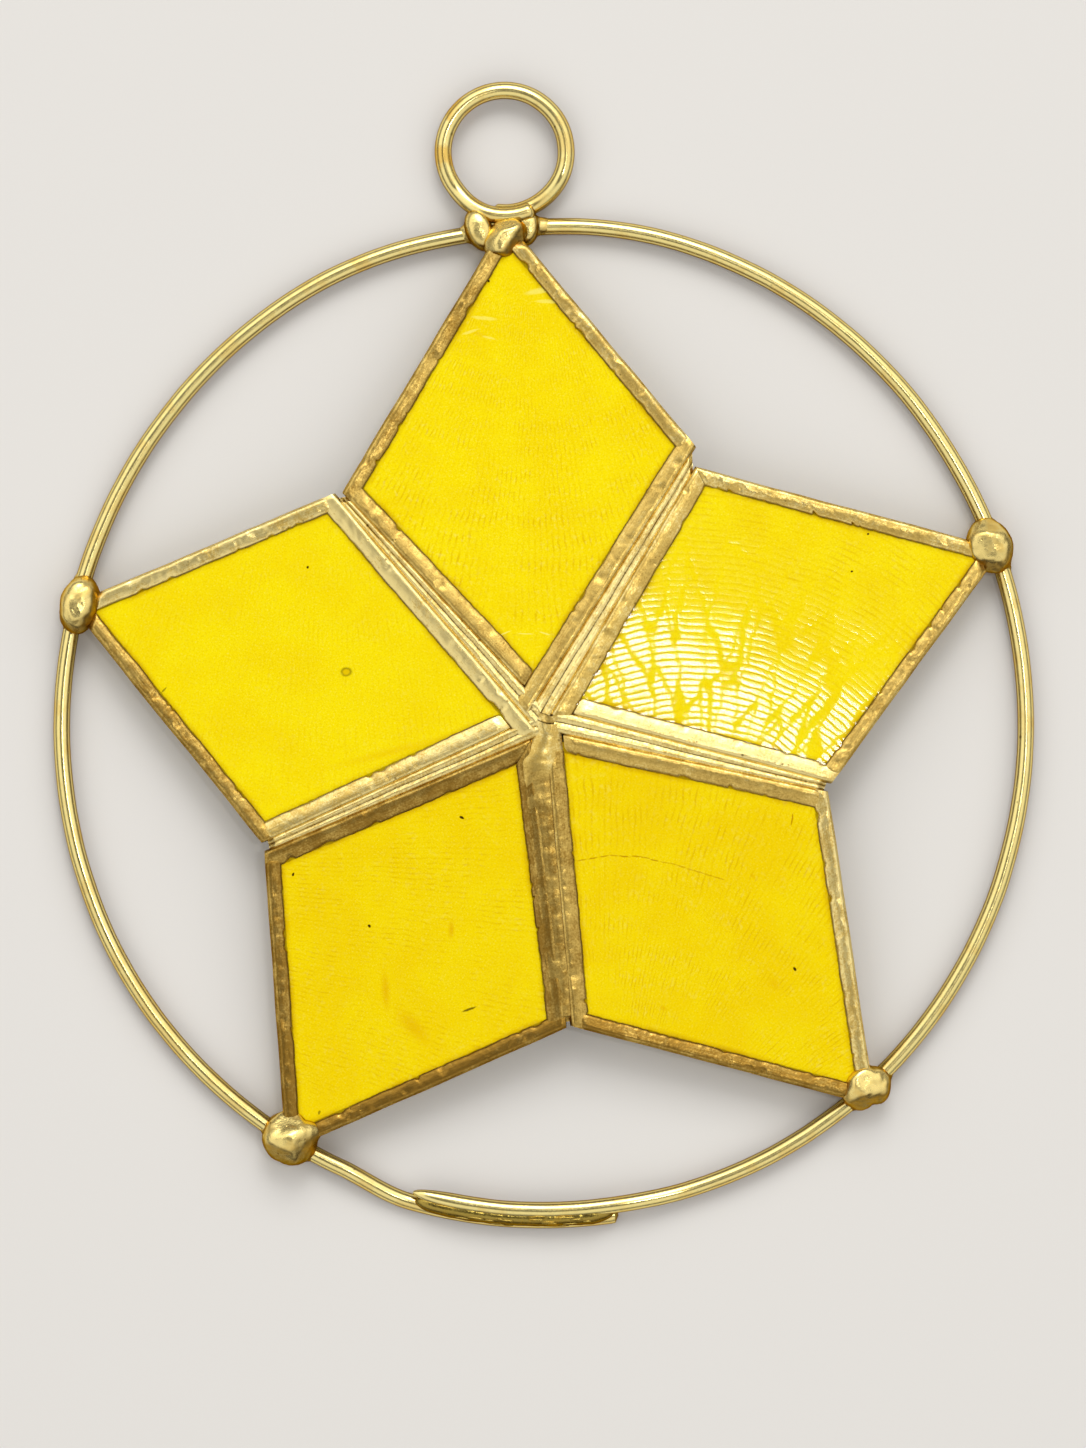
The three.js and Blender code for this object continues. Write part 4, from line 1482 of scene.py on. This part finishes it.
def flank_group(name):
    """How far a surface is turned away from a direction."""
    inputs = {"Low": "Float", "High": "Float", "Towards": "Vector"}
    tree, make, given, output = new_tree(name, "ShaderNodeTree", inputs, {"Flank": "Float"})
    normal = make.field(make.add("ShaderNodeNewGeometry"), "Normal")
    facing = make.vector("DOT_PRODUCT", normal, given["Towards"], output="Value")
    painted_flank_shade = make.ramp(facing, given["Low"], given["High"], 1.0, 0.0)
    make.put_out(output, Flank=painted_flank_shade)
    return tree


ROW_BEND = 3.0  # how far the rows of dashes bend, in radians
DASH_EDGE = (0.35, 0.6)
DASH_GAP = 0.15  # how strong a line stays between its dashes
LINE_EDGE = (0.3, 0.8)
GLINT_EDGE = (0.54, 0.72)
GLINTS = (1.3, 2.2)  # painted glints for each line across, and for each millimetre along


def growth_group(name):
    """Fine lines that stand in rows across a shell, the ridges between them and painted glints on short
    ridges.
    """
    inputs = {"Lines": "Vector", "Dash": "Float", "Row": "Float", "Seed": "Float"}
    outputs = {"Line": "Float", "Ridge": "Float", "Glint": "Float"}
    tree, make, given, output = new_tree(name, "ShaderNodeTree", inputs, outputs)
    count, run, patch = make.separated(given["Lines"])
    ridge = make.math("ABSOLUTE", make.math("SINE", count * math.pi))
    broken = make.noise(make.combined(count, run / given["Dash"]), 1.0, 1.0, given["Seed"])
    rows = make.math("SINE", run * FULL_TURN / given["Row"] + (broken - 0.5) * ROW_BEND) * 0.5 + 0.5
    dashes = (rows * 0.6 + 0.4) * make.ramp(broken, *DASH_EDGE, DASH_GAP, 1.0)
    line = make.ramp(1.0 - ridge, *LINE_EDGE) * dashes * patch
    # Painted glints: bright dashes that stand in for light caught on short ridges
    short = make.noise(make.combined(count * GLINTS[0], run * GLINTS[1]), 1.0, 1.0, given["Seed"])
    glint = make.ramp(short, *GLINT_EDGE) * (0.35 + rows * 0.65) * patch
    make.put_out(output, Line=line, Ridge=ridge, Glint=glint)
    return tree


FLECK_RAGS = 0.35  # size of the rags round a fleck, in millimetres
FLECK_STRAY = 0.14  # and how far they stray
FLECK_FADE = 1.7  # a fleck without a core fades out at this share of its size


def fleck_group(name):
    """A soft oval mark at a place in a pane's own plane."""
    inputs = {"Sheet": "Vector", "Place": "Vector", "Size": "Vector", "Turn": "Float", "Core": "Float"}
    tree, make, given, output = new_tree(name, "ShaderNodeTree", inputs, {"Fleck": "Float"})
    values = {"Vector": given["Sheet"], "Scale": 1.0 / (FLECK_RAGS * MM), "Detail": 2.0}
    rags = make.field(make.add("ShaderNodeTexNoise", values), "Color")
    rags = make.scaled(make.vector("SUBTRACT", rags, (0.5, 0.5, 0.5)), FLECK_STRAY * MM)
    away = make.vector("ADD", make.vector("SUBTRACT", given["Sheet"], given["Place"]), rags)
    values = {"Vector": away, "Angle": given["Turn"] * -1.0}
    turned = make.add("ShaderNodeVectorRotate", values, rotation_type="Z_AXIS")
    spread = make.length_of(make.vector("DIVIDE", make.field(turned), given["Size"]))
    fleck = make.ramp(spread, given["Core"], FLECK_FADE - given["Core"], 1.0, 0.0)
    make.put_out(output, Fleck=fleck)
    return tree


# Finishes

class Finish:
    """A material in the making: its nodes, its shader and the shared effects."""

    def __init__(self, name):
        self.material = bpy.data.materials.new(name)
        self.material.use_nodes = True
        tree = self.material.node_tree
        self.make = NodeMaker(tree)
        self.shader = tree.nodes["Principled BSDF"]
        self.place = self.make.field(self.make.add("ShaderNodeTexCoord"), "Object")

    def group(self, name, build, values):
        return self.make.add("ShaderNodeGroup", values, node_tree=shared_group(name, build))

    def mottle(self, millimetres, seed, place=None):
        values = {"Vector": place or self.place, "Size": millimetres * MM, "Seed": seed}
        node = self.group("Mottle", mottle_group, values)
        return [self.make.field(node, label) for label in ("Clouds", "Grain", "Pits", "Height")]

    # Where a surface turns away from a direction, for painted shade on its flanks
    def painted_flank_shade(self, low, high, towards=(0.0, 0.0, 1.0)):
        values = {"Low": low, "High": high, "Towards": towards}
        return self.make.field(self.group("Flank", flank_group, values))

    def largest(self, *masks):
        mask = masks[0]
        for other in masks[1:]:
            mask = self.make.math("MAXIMUM", mask, other)
        return mask

    def set(self, **values):
        for label, value in values.items():
            socket = self.shader.inputs[label.replace("_", " ")]
            if isinstance(value, Field):
                self.make.tree.links.new(value.socket, socket)
            else:
                socket.default_value = value

    def metal(self, tone, roughness):
        self.set(Base_Color=tone, Metallic=1.0, Roughness=roughness)
        self.set(Specular_Tint=rgba(settings().colours.metal_edge))

    def bump(self, height, millimetres, strength=1.0):
        values = {"Height": height, "Distance": millimetres * MM, "Strength": strength}
        node = self.make.add("ShaderNodeBump", values)
        self.set(Normal=self.make.field(node, "Normal"))


def rgba(value):
    return (*value, 1.0)


def shaded(value, share):
    return rgba([channel * share for channel in value])


SHELL_GRAIN = 0.17  # size of the shell's finest mottling, in millimetres
SHELL_GLOSS = 0.05  # roughness of its polished cells
SHELL_COAT = 0.28  # how strongly they mirror
SHELL_SHEEN = 0.02  # and how faintly the dull shell between them does
SHELL_INDEX = 1.5  # how strongly its polish breaks light
RAGGED_LIP = 0.25  # how unevenly the dye follows the strip's lip, in millimetres
RUN_DYE = (0.05, 0.6)  # how far past the lip the dye has run
PAINTED_LIP_GAP_SHADE = (-0.02, 0.12)  # where the gap under the lip is painted dark as shade
STAIN_CORE = 0.0  # stains are soft from their middle on, and flecks have a firm core
FLECK_CORE = 0.55


def shell_finish(pane):
    """Glossy dyed shell with fine broken lines, painted glints, run dye along its edges, painted shade in the
    gap under the strips, and flecks.
    """
    colours = settings().colours
    finish = Finish(f"Dyed Capiz {pane.name}")
    make = finish.make
    sheet = make.attribute("sheet", "Vector")
    rim = make.attribute("rim")
    seed = pane.axis * 0.1
    clouds, grain, _, _ = finish.mottle(millimetres=5.0, seed=seed, place=sheet)
    growth = finish.group("Growth Lines", growth_group, {
        "Lines": make.attribute("lines", "Vector"), "Dash": pane.dash, "Row": pane.row, "Seed": seed,
    })
    line, ridge, glint = (make.field(growth, label) for label in ("Line", "Ridge", "Glint"))
    fine = make.noise(sheet, SHELL_GRAIN * MM, 1.0, seed)
    tone = make.mix(pane.dye + (clouds - 0.5) * 0.35, rgba(colours.shell), rgba(colours.shell_deep))
    tone = make.mix(line * pane.line_strength, tone, rgba(colours.shell_line))
    tone = make.mix(make.ramp(fine, 0.3, 0.5, 0.32, 0.0), tone, rgba(colours.shell_line))
    # Painted glints on short ridges, together with pale grain
    pale = finish.largest(glint * pane.glint, make.ramp(fine, 0.55, 0.8) * 0.25)
    tone = make.mix(pale, tone, rgba(colours.shell_glint_and_scratch))
    under_lip = settings().star.pane_edge
    ragged = rim + (grain - 0.5) * (RAGGED_LIP * MM)
    run_dye = make.ramp(ragged, *(under_lip + edge * MM for edge in RUN_DYE), 0.5, 0.0)
    tone = make.mix(run_dye * (0.25 + clouds * 0.75), tone, rgba(colours.shell_amber))
    # Painted shade: a dark band in the gap under the strip's lip
    gap = make.ramp(ragged, *(under_lip + edge * MM for edge in PAINTED_LIP_GAP_SHADE), 0.55, 0.0)
    tone = make.mix(gap, tone, rgba(colours.shell_fleck))
    for fleck in pane.flecks:
        mark = make.field(finish.group("Fleck", fleck_group, {
            "Sheet": sheet,
            "Place": (fleck.along * MM, fleck.across * MM, 0.0),
            "Size": (fleck.length * MM, fleck.width * MM, 1.0),
            "Turn": math.radians(fleck.turn),
            "Core": STAIN_CORE if fleck.colour == "shell_stain" else FLECK_CORE,
        }))
        tone = make.mix(mark * fleck.strength, tone, rgba(getattr(colours, fleck.colour)))
    polish = make.attribute("polish") * make.ramp(ridge + (grain - 0.5) * 0.4, 0.45, 0.6)
    roughness = SHELL_GLOSS + (1.0 - polish) * pane.matte
    finish.set(Base_Color=tone, Roughness=roughness, IOR=SHELL_INDEX, Specular_IOR_Level=SHELL_SHEEN)
    finish.set(Coat_Weight=polish * SHELL_COAT, Coat_Roughness=SHELL_GLOSS, Coat_IOR=SHELL_INDEX)
    rounded = make.ramp(ridge, 0.0, 0.6, 1.0, 0.0)
    finish.bump(grain * 0.2 - line * 0.6 - rounded * rounded * 0.35, pane.line_height * 2.0)
    return finish.material


def strip_finish(name):
    """Satin brass, mottled, pitted and drawn along its length, browner where tarnished or painted shaded,
    with painted highlights on its folds and painted shade by the lip, on its flanks and in its creases.
    """
    colours = settings().colours
    finish = Finish(name)
    make = finish.make
    across = make.attribute("across")
    clouds, grain, pits, height = finish.mottle(millimetres=1.6, seed=4.0)
    _, _, specks, _ = finish.mottle(millimetres=2.4, seed=6.0)
    drawn = make.noise(make.combined(make.attribute("along") * 0.35, across * 9.0), 1.0, 3.0, 2.0)
    # The tarnish value carries each leg's tarnish together with painted light and shade, and the fold's
    # painted highlight makes it paler
    wear_and_light = make.attribute("tarnish") - make.attribute("painted_fold_highlight") * 0.3
    wear_and_light = wear_and_light + (clouds - 0.5) * 0.18 + (grain - 0.5) * 0.9 + (drawn - 0.5) * 0.45
    tone = make.mix(make.ramp(wear_and_light, 0.0, 0.35), rgba(colours.strip_pale), rgba(colours.strip_tan))
    tone = make.mix(make.ramp(wear_and_light, 0.25, 0.95), tone, rgba(colours.strip_brown))
    # Painted shade along the lip, where the flange meets the pane
    painted_lip_shade = make.ramp(across + (grain - 0.5) * 0.2, 0.0, 0.14, 0.7, 0.0)
    # Painted shade on the strip's folded flanks
    painted_flank_shade = finish.painted_flank_shade(low=-0.2, high=0.6) * 0.75
    # Pits and specks, together with the painted shade, darken the strip
    shade = finish.largest(painted_lip_shade, pits * 0.6, specks * 0.75, painted_flank_shade)
    tone = make.mix(shade, tone, shaded(colours.strip_brown, 0.7))
    # Painted shade in the seams' creases, valleys and mouth rims
    painted_crease_shade = make.ramp(make.attribute("painted_crease_shade") + (grain - 0.5) * 0.5, 0.1, 0.8)
    tone = make.mix(painted_crease_shade * 0.95, tone, shaded(colours.strip_brown, 0.2))
    finish.metal(tone, 0.22 + grain * 0.18 + clouds * 0.04)
    finish.bump(height * 0.7 + drawn * 0.5, millimetres=0.03, strength=0.8)
    return finish.material


RUNS_BELOW_EYE = (12, 5)  # the lacquer has run together this far below the eye, in millimetres
RUNS_LEFT_OF_EYE = (4.5, 2)


def wire_finish():
    """Lacquered gold wire with painted shade on its flanks, olive pits and runs of orange lacquer."""
    colours = settings().colours
    finish = Finish("Gold Wire")
    make = finish.make
    clouds, grain, pits, height = finish.mottle(millimetres=2.6, seed=9.0)
    # Painted shade on the wire's flanks, standing in for dark reflections along its sides
    painted_flank_shade = finish.painted_flank_shade(low=0.1, high=0.62) * 0.95
    tone = make.mix(painted_flank_shade, rgba(colours.wire_gold), rgba(colours.wire_olive_and_shade))
    x, y, _ = make.separated(finish.place)
    by_the_loop = make.ramp(y, *(EYE[1] - reach * MM for reach in RUNS_BELOW_EYE))
    by_the_loop = by_the_loop * make.ramp(x, *(EYE[0] - reach * MM for reach in RUNS_LEFT_OF_EYE), 1.0, 0.0)
    runs = make.ramp(clouds + (grain - 0.5) * 0.4, 0.5, 1.0) * (0.25 + by_the_loop * 0.35)
    tone = make.mix(runs, tone, rgba(colours.wire_orange))
    tone = make.mix(pits * 0.6, tone, rgba(colours.wire_olive_and_shade))
    finish.metal(tone, 0.14 + clouds * 0.06 + grain * 0.1)
    finish.bump(height, millimetres=0.02, strength=0.4)
    return finish.material


SOLDER_LIT_SIDE = (-0.24, 0.46, 0.85)  # solder is painted brightest where it faces this way, towards the light


def solder_finish(name, gold, roughness, painted_flank_shade):
    """Solder under gold lacquer, with painted shade where it turns away from the light's side, and darker in
    its pits.
    """
    colours = settings().colours
    finish = Finish(name)
    make = finish.make
    clouds, grain, pits, height = finish.mottle(millimetres=1.7, seed=14.0)
    # Painted shade on the solder's flanks and on the side turned away from the light
    painted_flank_shade = finish.painted_flank_shade(*painted_flank_shade, SOLDER_LIT_SIDE) * (0.6 + grain * 0.4)
    tone = make.mix(painted_flank_shade, rgba(getattr(colours, gold)), rgba(colours.solder_shade))
    runs = make.ramp(clouds + (grain - 0.5) * 0.6, 0.5, 1.05) * 0.3
    tone = make.mix(runs, tone, rgba(colours.wire_orange))
    tone = make.mix(pits * 0.8, tone, rgba(colours.solder_shade))
    finish.metal(tone, roughness + clouds * 0.1 + grain * 0.1)
    finish.bump(height, millimetres=0.06, strength=0.7)
    return finish.material


# Stage

FLOOR_RADIUS = 3.0
FLOOR_SIDES = 96
FLOOR_MOTTLE = 0.25  # size of the floor's faint clouds, in metres
FLOOR_SHADE = 0.96
DAYLIGHT = (1.0, 0.985, 0.96, 1.0)
DOME_EDGE = (0.2, 0.6)  # the dome brightens between these heights of its unit sphere
WINDOW_EDGE = (-0.45, 0.65)  # and from its front to its back
WINDOW_LEAN = (0.75, 1.3)
ZENITH_EDGE = (0.9, 0.955)  # and is open above these, where the camera stands
KEY_PLACE = (0.12, 0.85, 0.95)
KEY_SIZE = (0.6, 0.6)
GLOSS_PLACE = (0.1422, 0.0259, 0.8)  # where the right pane mirrors it to the camera
GLOSS_SIZE = (0.078, 0.030)
GLOSS_TURN = math.radians(-29.3)


class CAPIZSTAR_OT_stage(bpy.types.Operator):
    """Set the pale floor, the soft light and the camera above the ornament"""

    bl_idname = "capiz_star.stage"
    bl_label = "Stage"

    def execute(self, context):
        stage = settings().stage
        self.floor()
        self.world(stage)
        towards_star = (-Vector(KEY_PLACE)).to_track_quat("-Z", "Y").to_euler()
        self.lamp("Key Light", KEY_PLACE, KEY_SIZE, stage.key_power, towards_star)
        self.lamp("Gloss Light", GLOSS_PLACE, GLOSS_SIZE, stage.gloss_power, Euler((0, 0, GLOSS_TURN)))
        self.camera(stage)
        context.scene.view_settings.view_transform = "Standard"
        return {"FINISHED"}

    def floor(self):
        finish = Finish("Pale Floor")
        pale = settings().colours.floor
        faint = finish.make.noise(finish.place, FLOOR_MOTTLE, 3.0)
        tone = finish.make.mix(faint, rgba(pale), shaded(pale, FLOOR_SHADE))
        finish.set(Base_Color=tone, Roughness=0.7)
        work = bmesh.new()
        bmesh.ops.create_circle(work, cap_ends=True, segments=FLOOR_SIDES, radius=FLOOR_RADIUS)
        mesh = bpy.data.meshes.new("Floor")
        work.to_mesh(mesh)
        work.free()
        mesh.materials.append(finish.material)
        floor = bpy.data.objects.new("Floor", mesh)
        bpy.context.scene.collection.objects.link(floor)

    def world(self, stage):
        world = bpy.data.worlds.new("Soft Dome")
        world.use_nodes = True
        make = NodeMaker(world.node_tree)
        background = world.node_tree.nodes["Background"]
        _, forward, upward = make.separated(make.field(make.add("ShaderNodeTexCoord"), "Generated"))
        window = make.ramp(forward, *WINDOW_EDGE, *WINDOW_LEAN) * stage.window
        strength = make.ramp(upward, *DOME_EDGE) * (window + stage.dome) + stage.horizon
        above = make.ramp(upward, *ZENITH_EDGE)
        strength = strength + above * (stage.zenith - strength)
        world.node_tree.links.new(strength.socket, background.inputs["Strength"])
        background.inputs["Color"].default_value = DAYLIGHT
        bpy.context.scene.world = world

    def lamp(self, name, place, size, watts, turn):
        data = bpy.data.lights.new(name, "AREA")
        data.shape = "RECTANGLE"
        data.size, data.size_y = size
        data.energy = watts
        lamp = bpy.data.objects.new(name, data)
        lamp.location = place
        lamp.rotation_euler = turn
        bpy.context.scene.collection.objects.link(lamp)

    def camera(self, stage):
        data = bpy.data.cameras.new("Camera")
        distance = stage.camera_height - settings().wires.ring_height
        data.lens = data.sensor_width * distance / stage.view_height
        data.clip_start = 0.01
        camera = bpy.data.objects.new("Camera", data)
        camera.location = (*stage.aim, stage.camera_height)
        camera.rotation_euler = (0.0, 0.0, -stage.turn)
        bpy.context.scene.collection.objects.link(camera)
        bpy.context.scene.camera = camera


# Panel

MAKERS = (
    CAPIZSTAR_OT_stage,
    CAPIZSTAR_OT_shell_panes,
    CAPIZSTAR_OT_edge_strips,
    CAPIZSTAR_OT_seam_solder,
    CAPIZSTAR_OT_solder_lumps,
    CAPIZSTAR_OT_wires,
)


class CAPIZSTAR_PT_ornament(bpy.types.Panel):
    """Lists what the ornament is made of"""

    bl_idname = "CAPIZSTAR_PT_ornament"
    bl_label = "Capiz Star Ornament"
    bl_space_type = "VIEW_3D"
    bl_region_type = "UI"
    bl_category = "Ornament"

    def draw(self, context):
        for maker in MAKERS:
            self.layout.operator(maker.bl_idname)
        for group in ("star", "wires", "colours", "stage"):
            box = self.layout.box()
            sizes = getattr(context.scene.capiz_star, group)
            for name in sizes.__annotations__:
                box.prop(sizes, name)


CLASSES = (StarSizes, WireSizes, FinishColours, StageSizes, OrnamentSettings, *MAKERS, CAPIZSTAR_PT_ornament)


def register():
    for each in CLASSES:
        bpy.utils.register_class(each)
    bpy.types.Scene.capiz_star = bpy.props.PointerProperty(type=OrnamentSettings)


def unregister():
    del bpy.types.Scene.capiz_star
    for each in reversed(CLASSES):
        bpy.utils.unregister_class(each)


def main():
    register()
    for maker in MAKERS:
        family, name = maker.bl_idname.split(".")
        getattr(getattr(bpy.ops, family), name)()


if __name__ == "__main__":
    main()
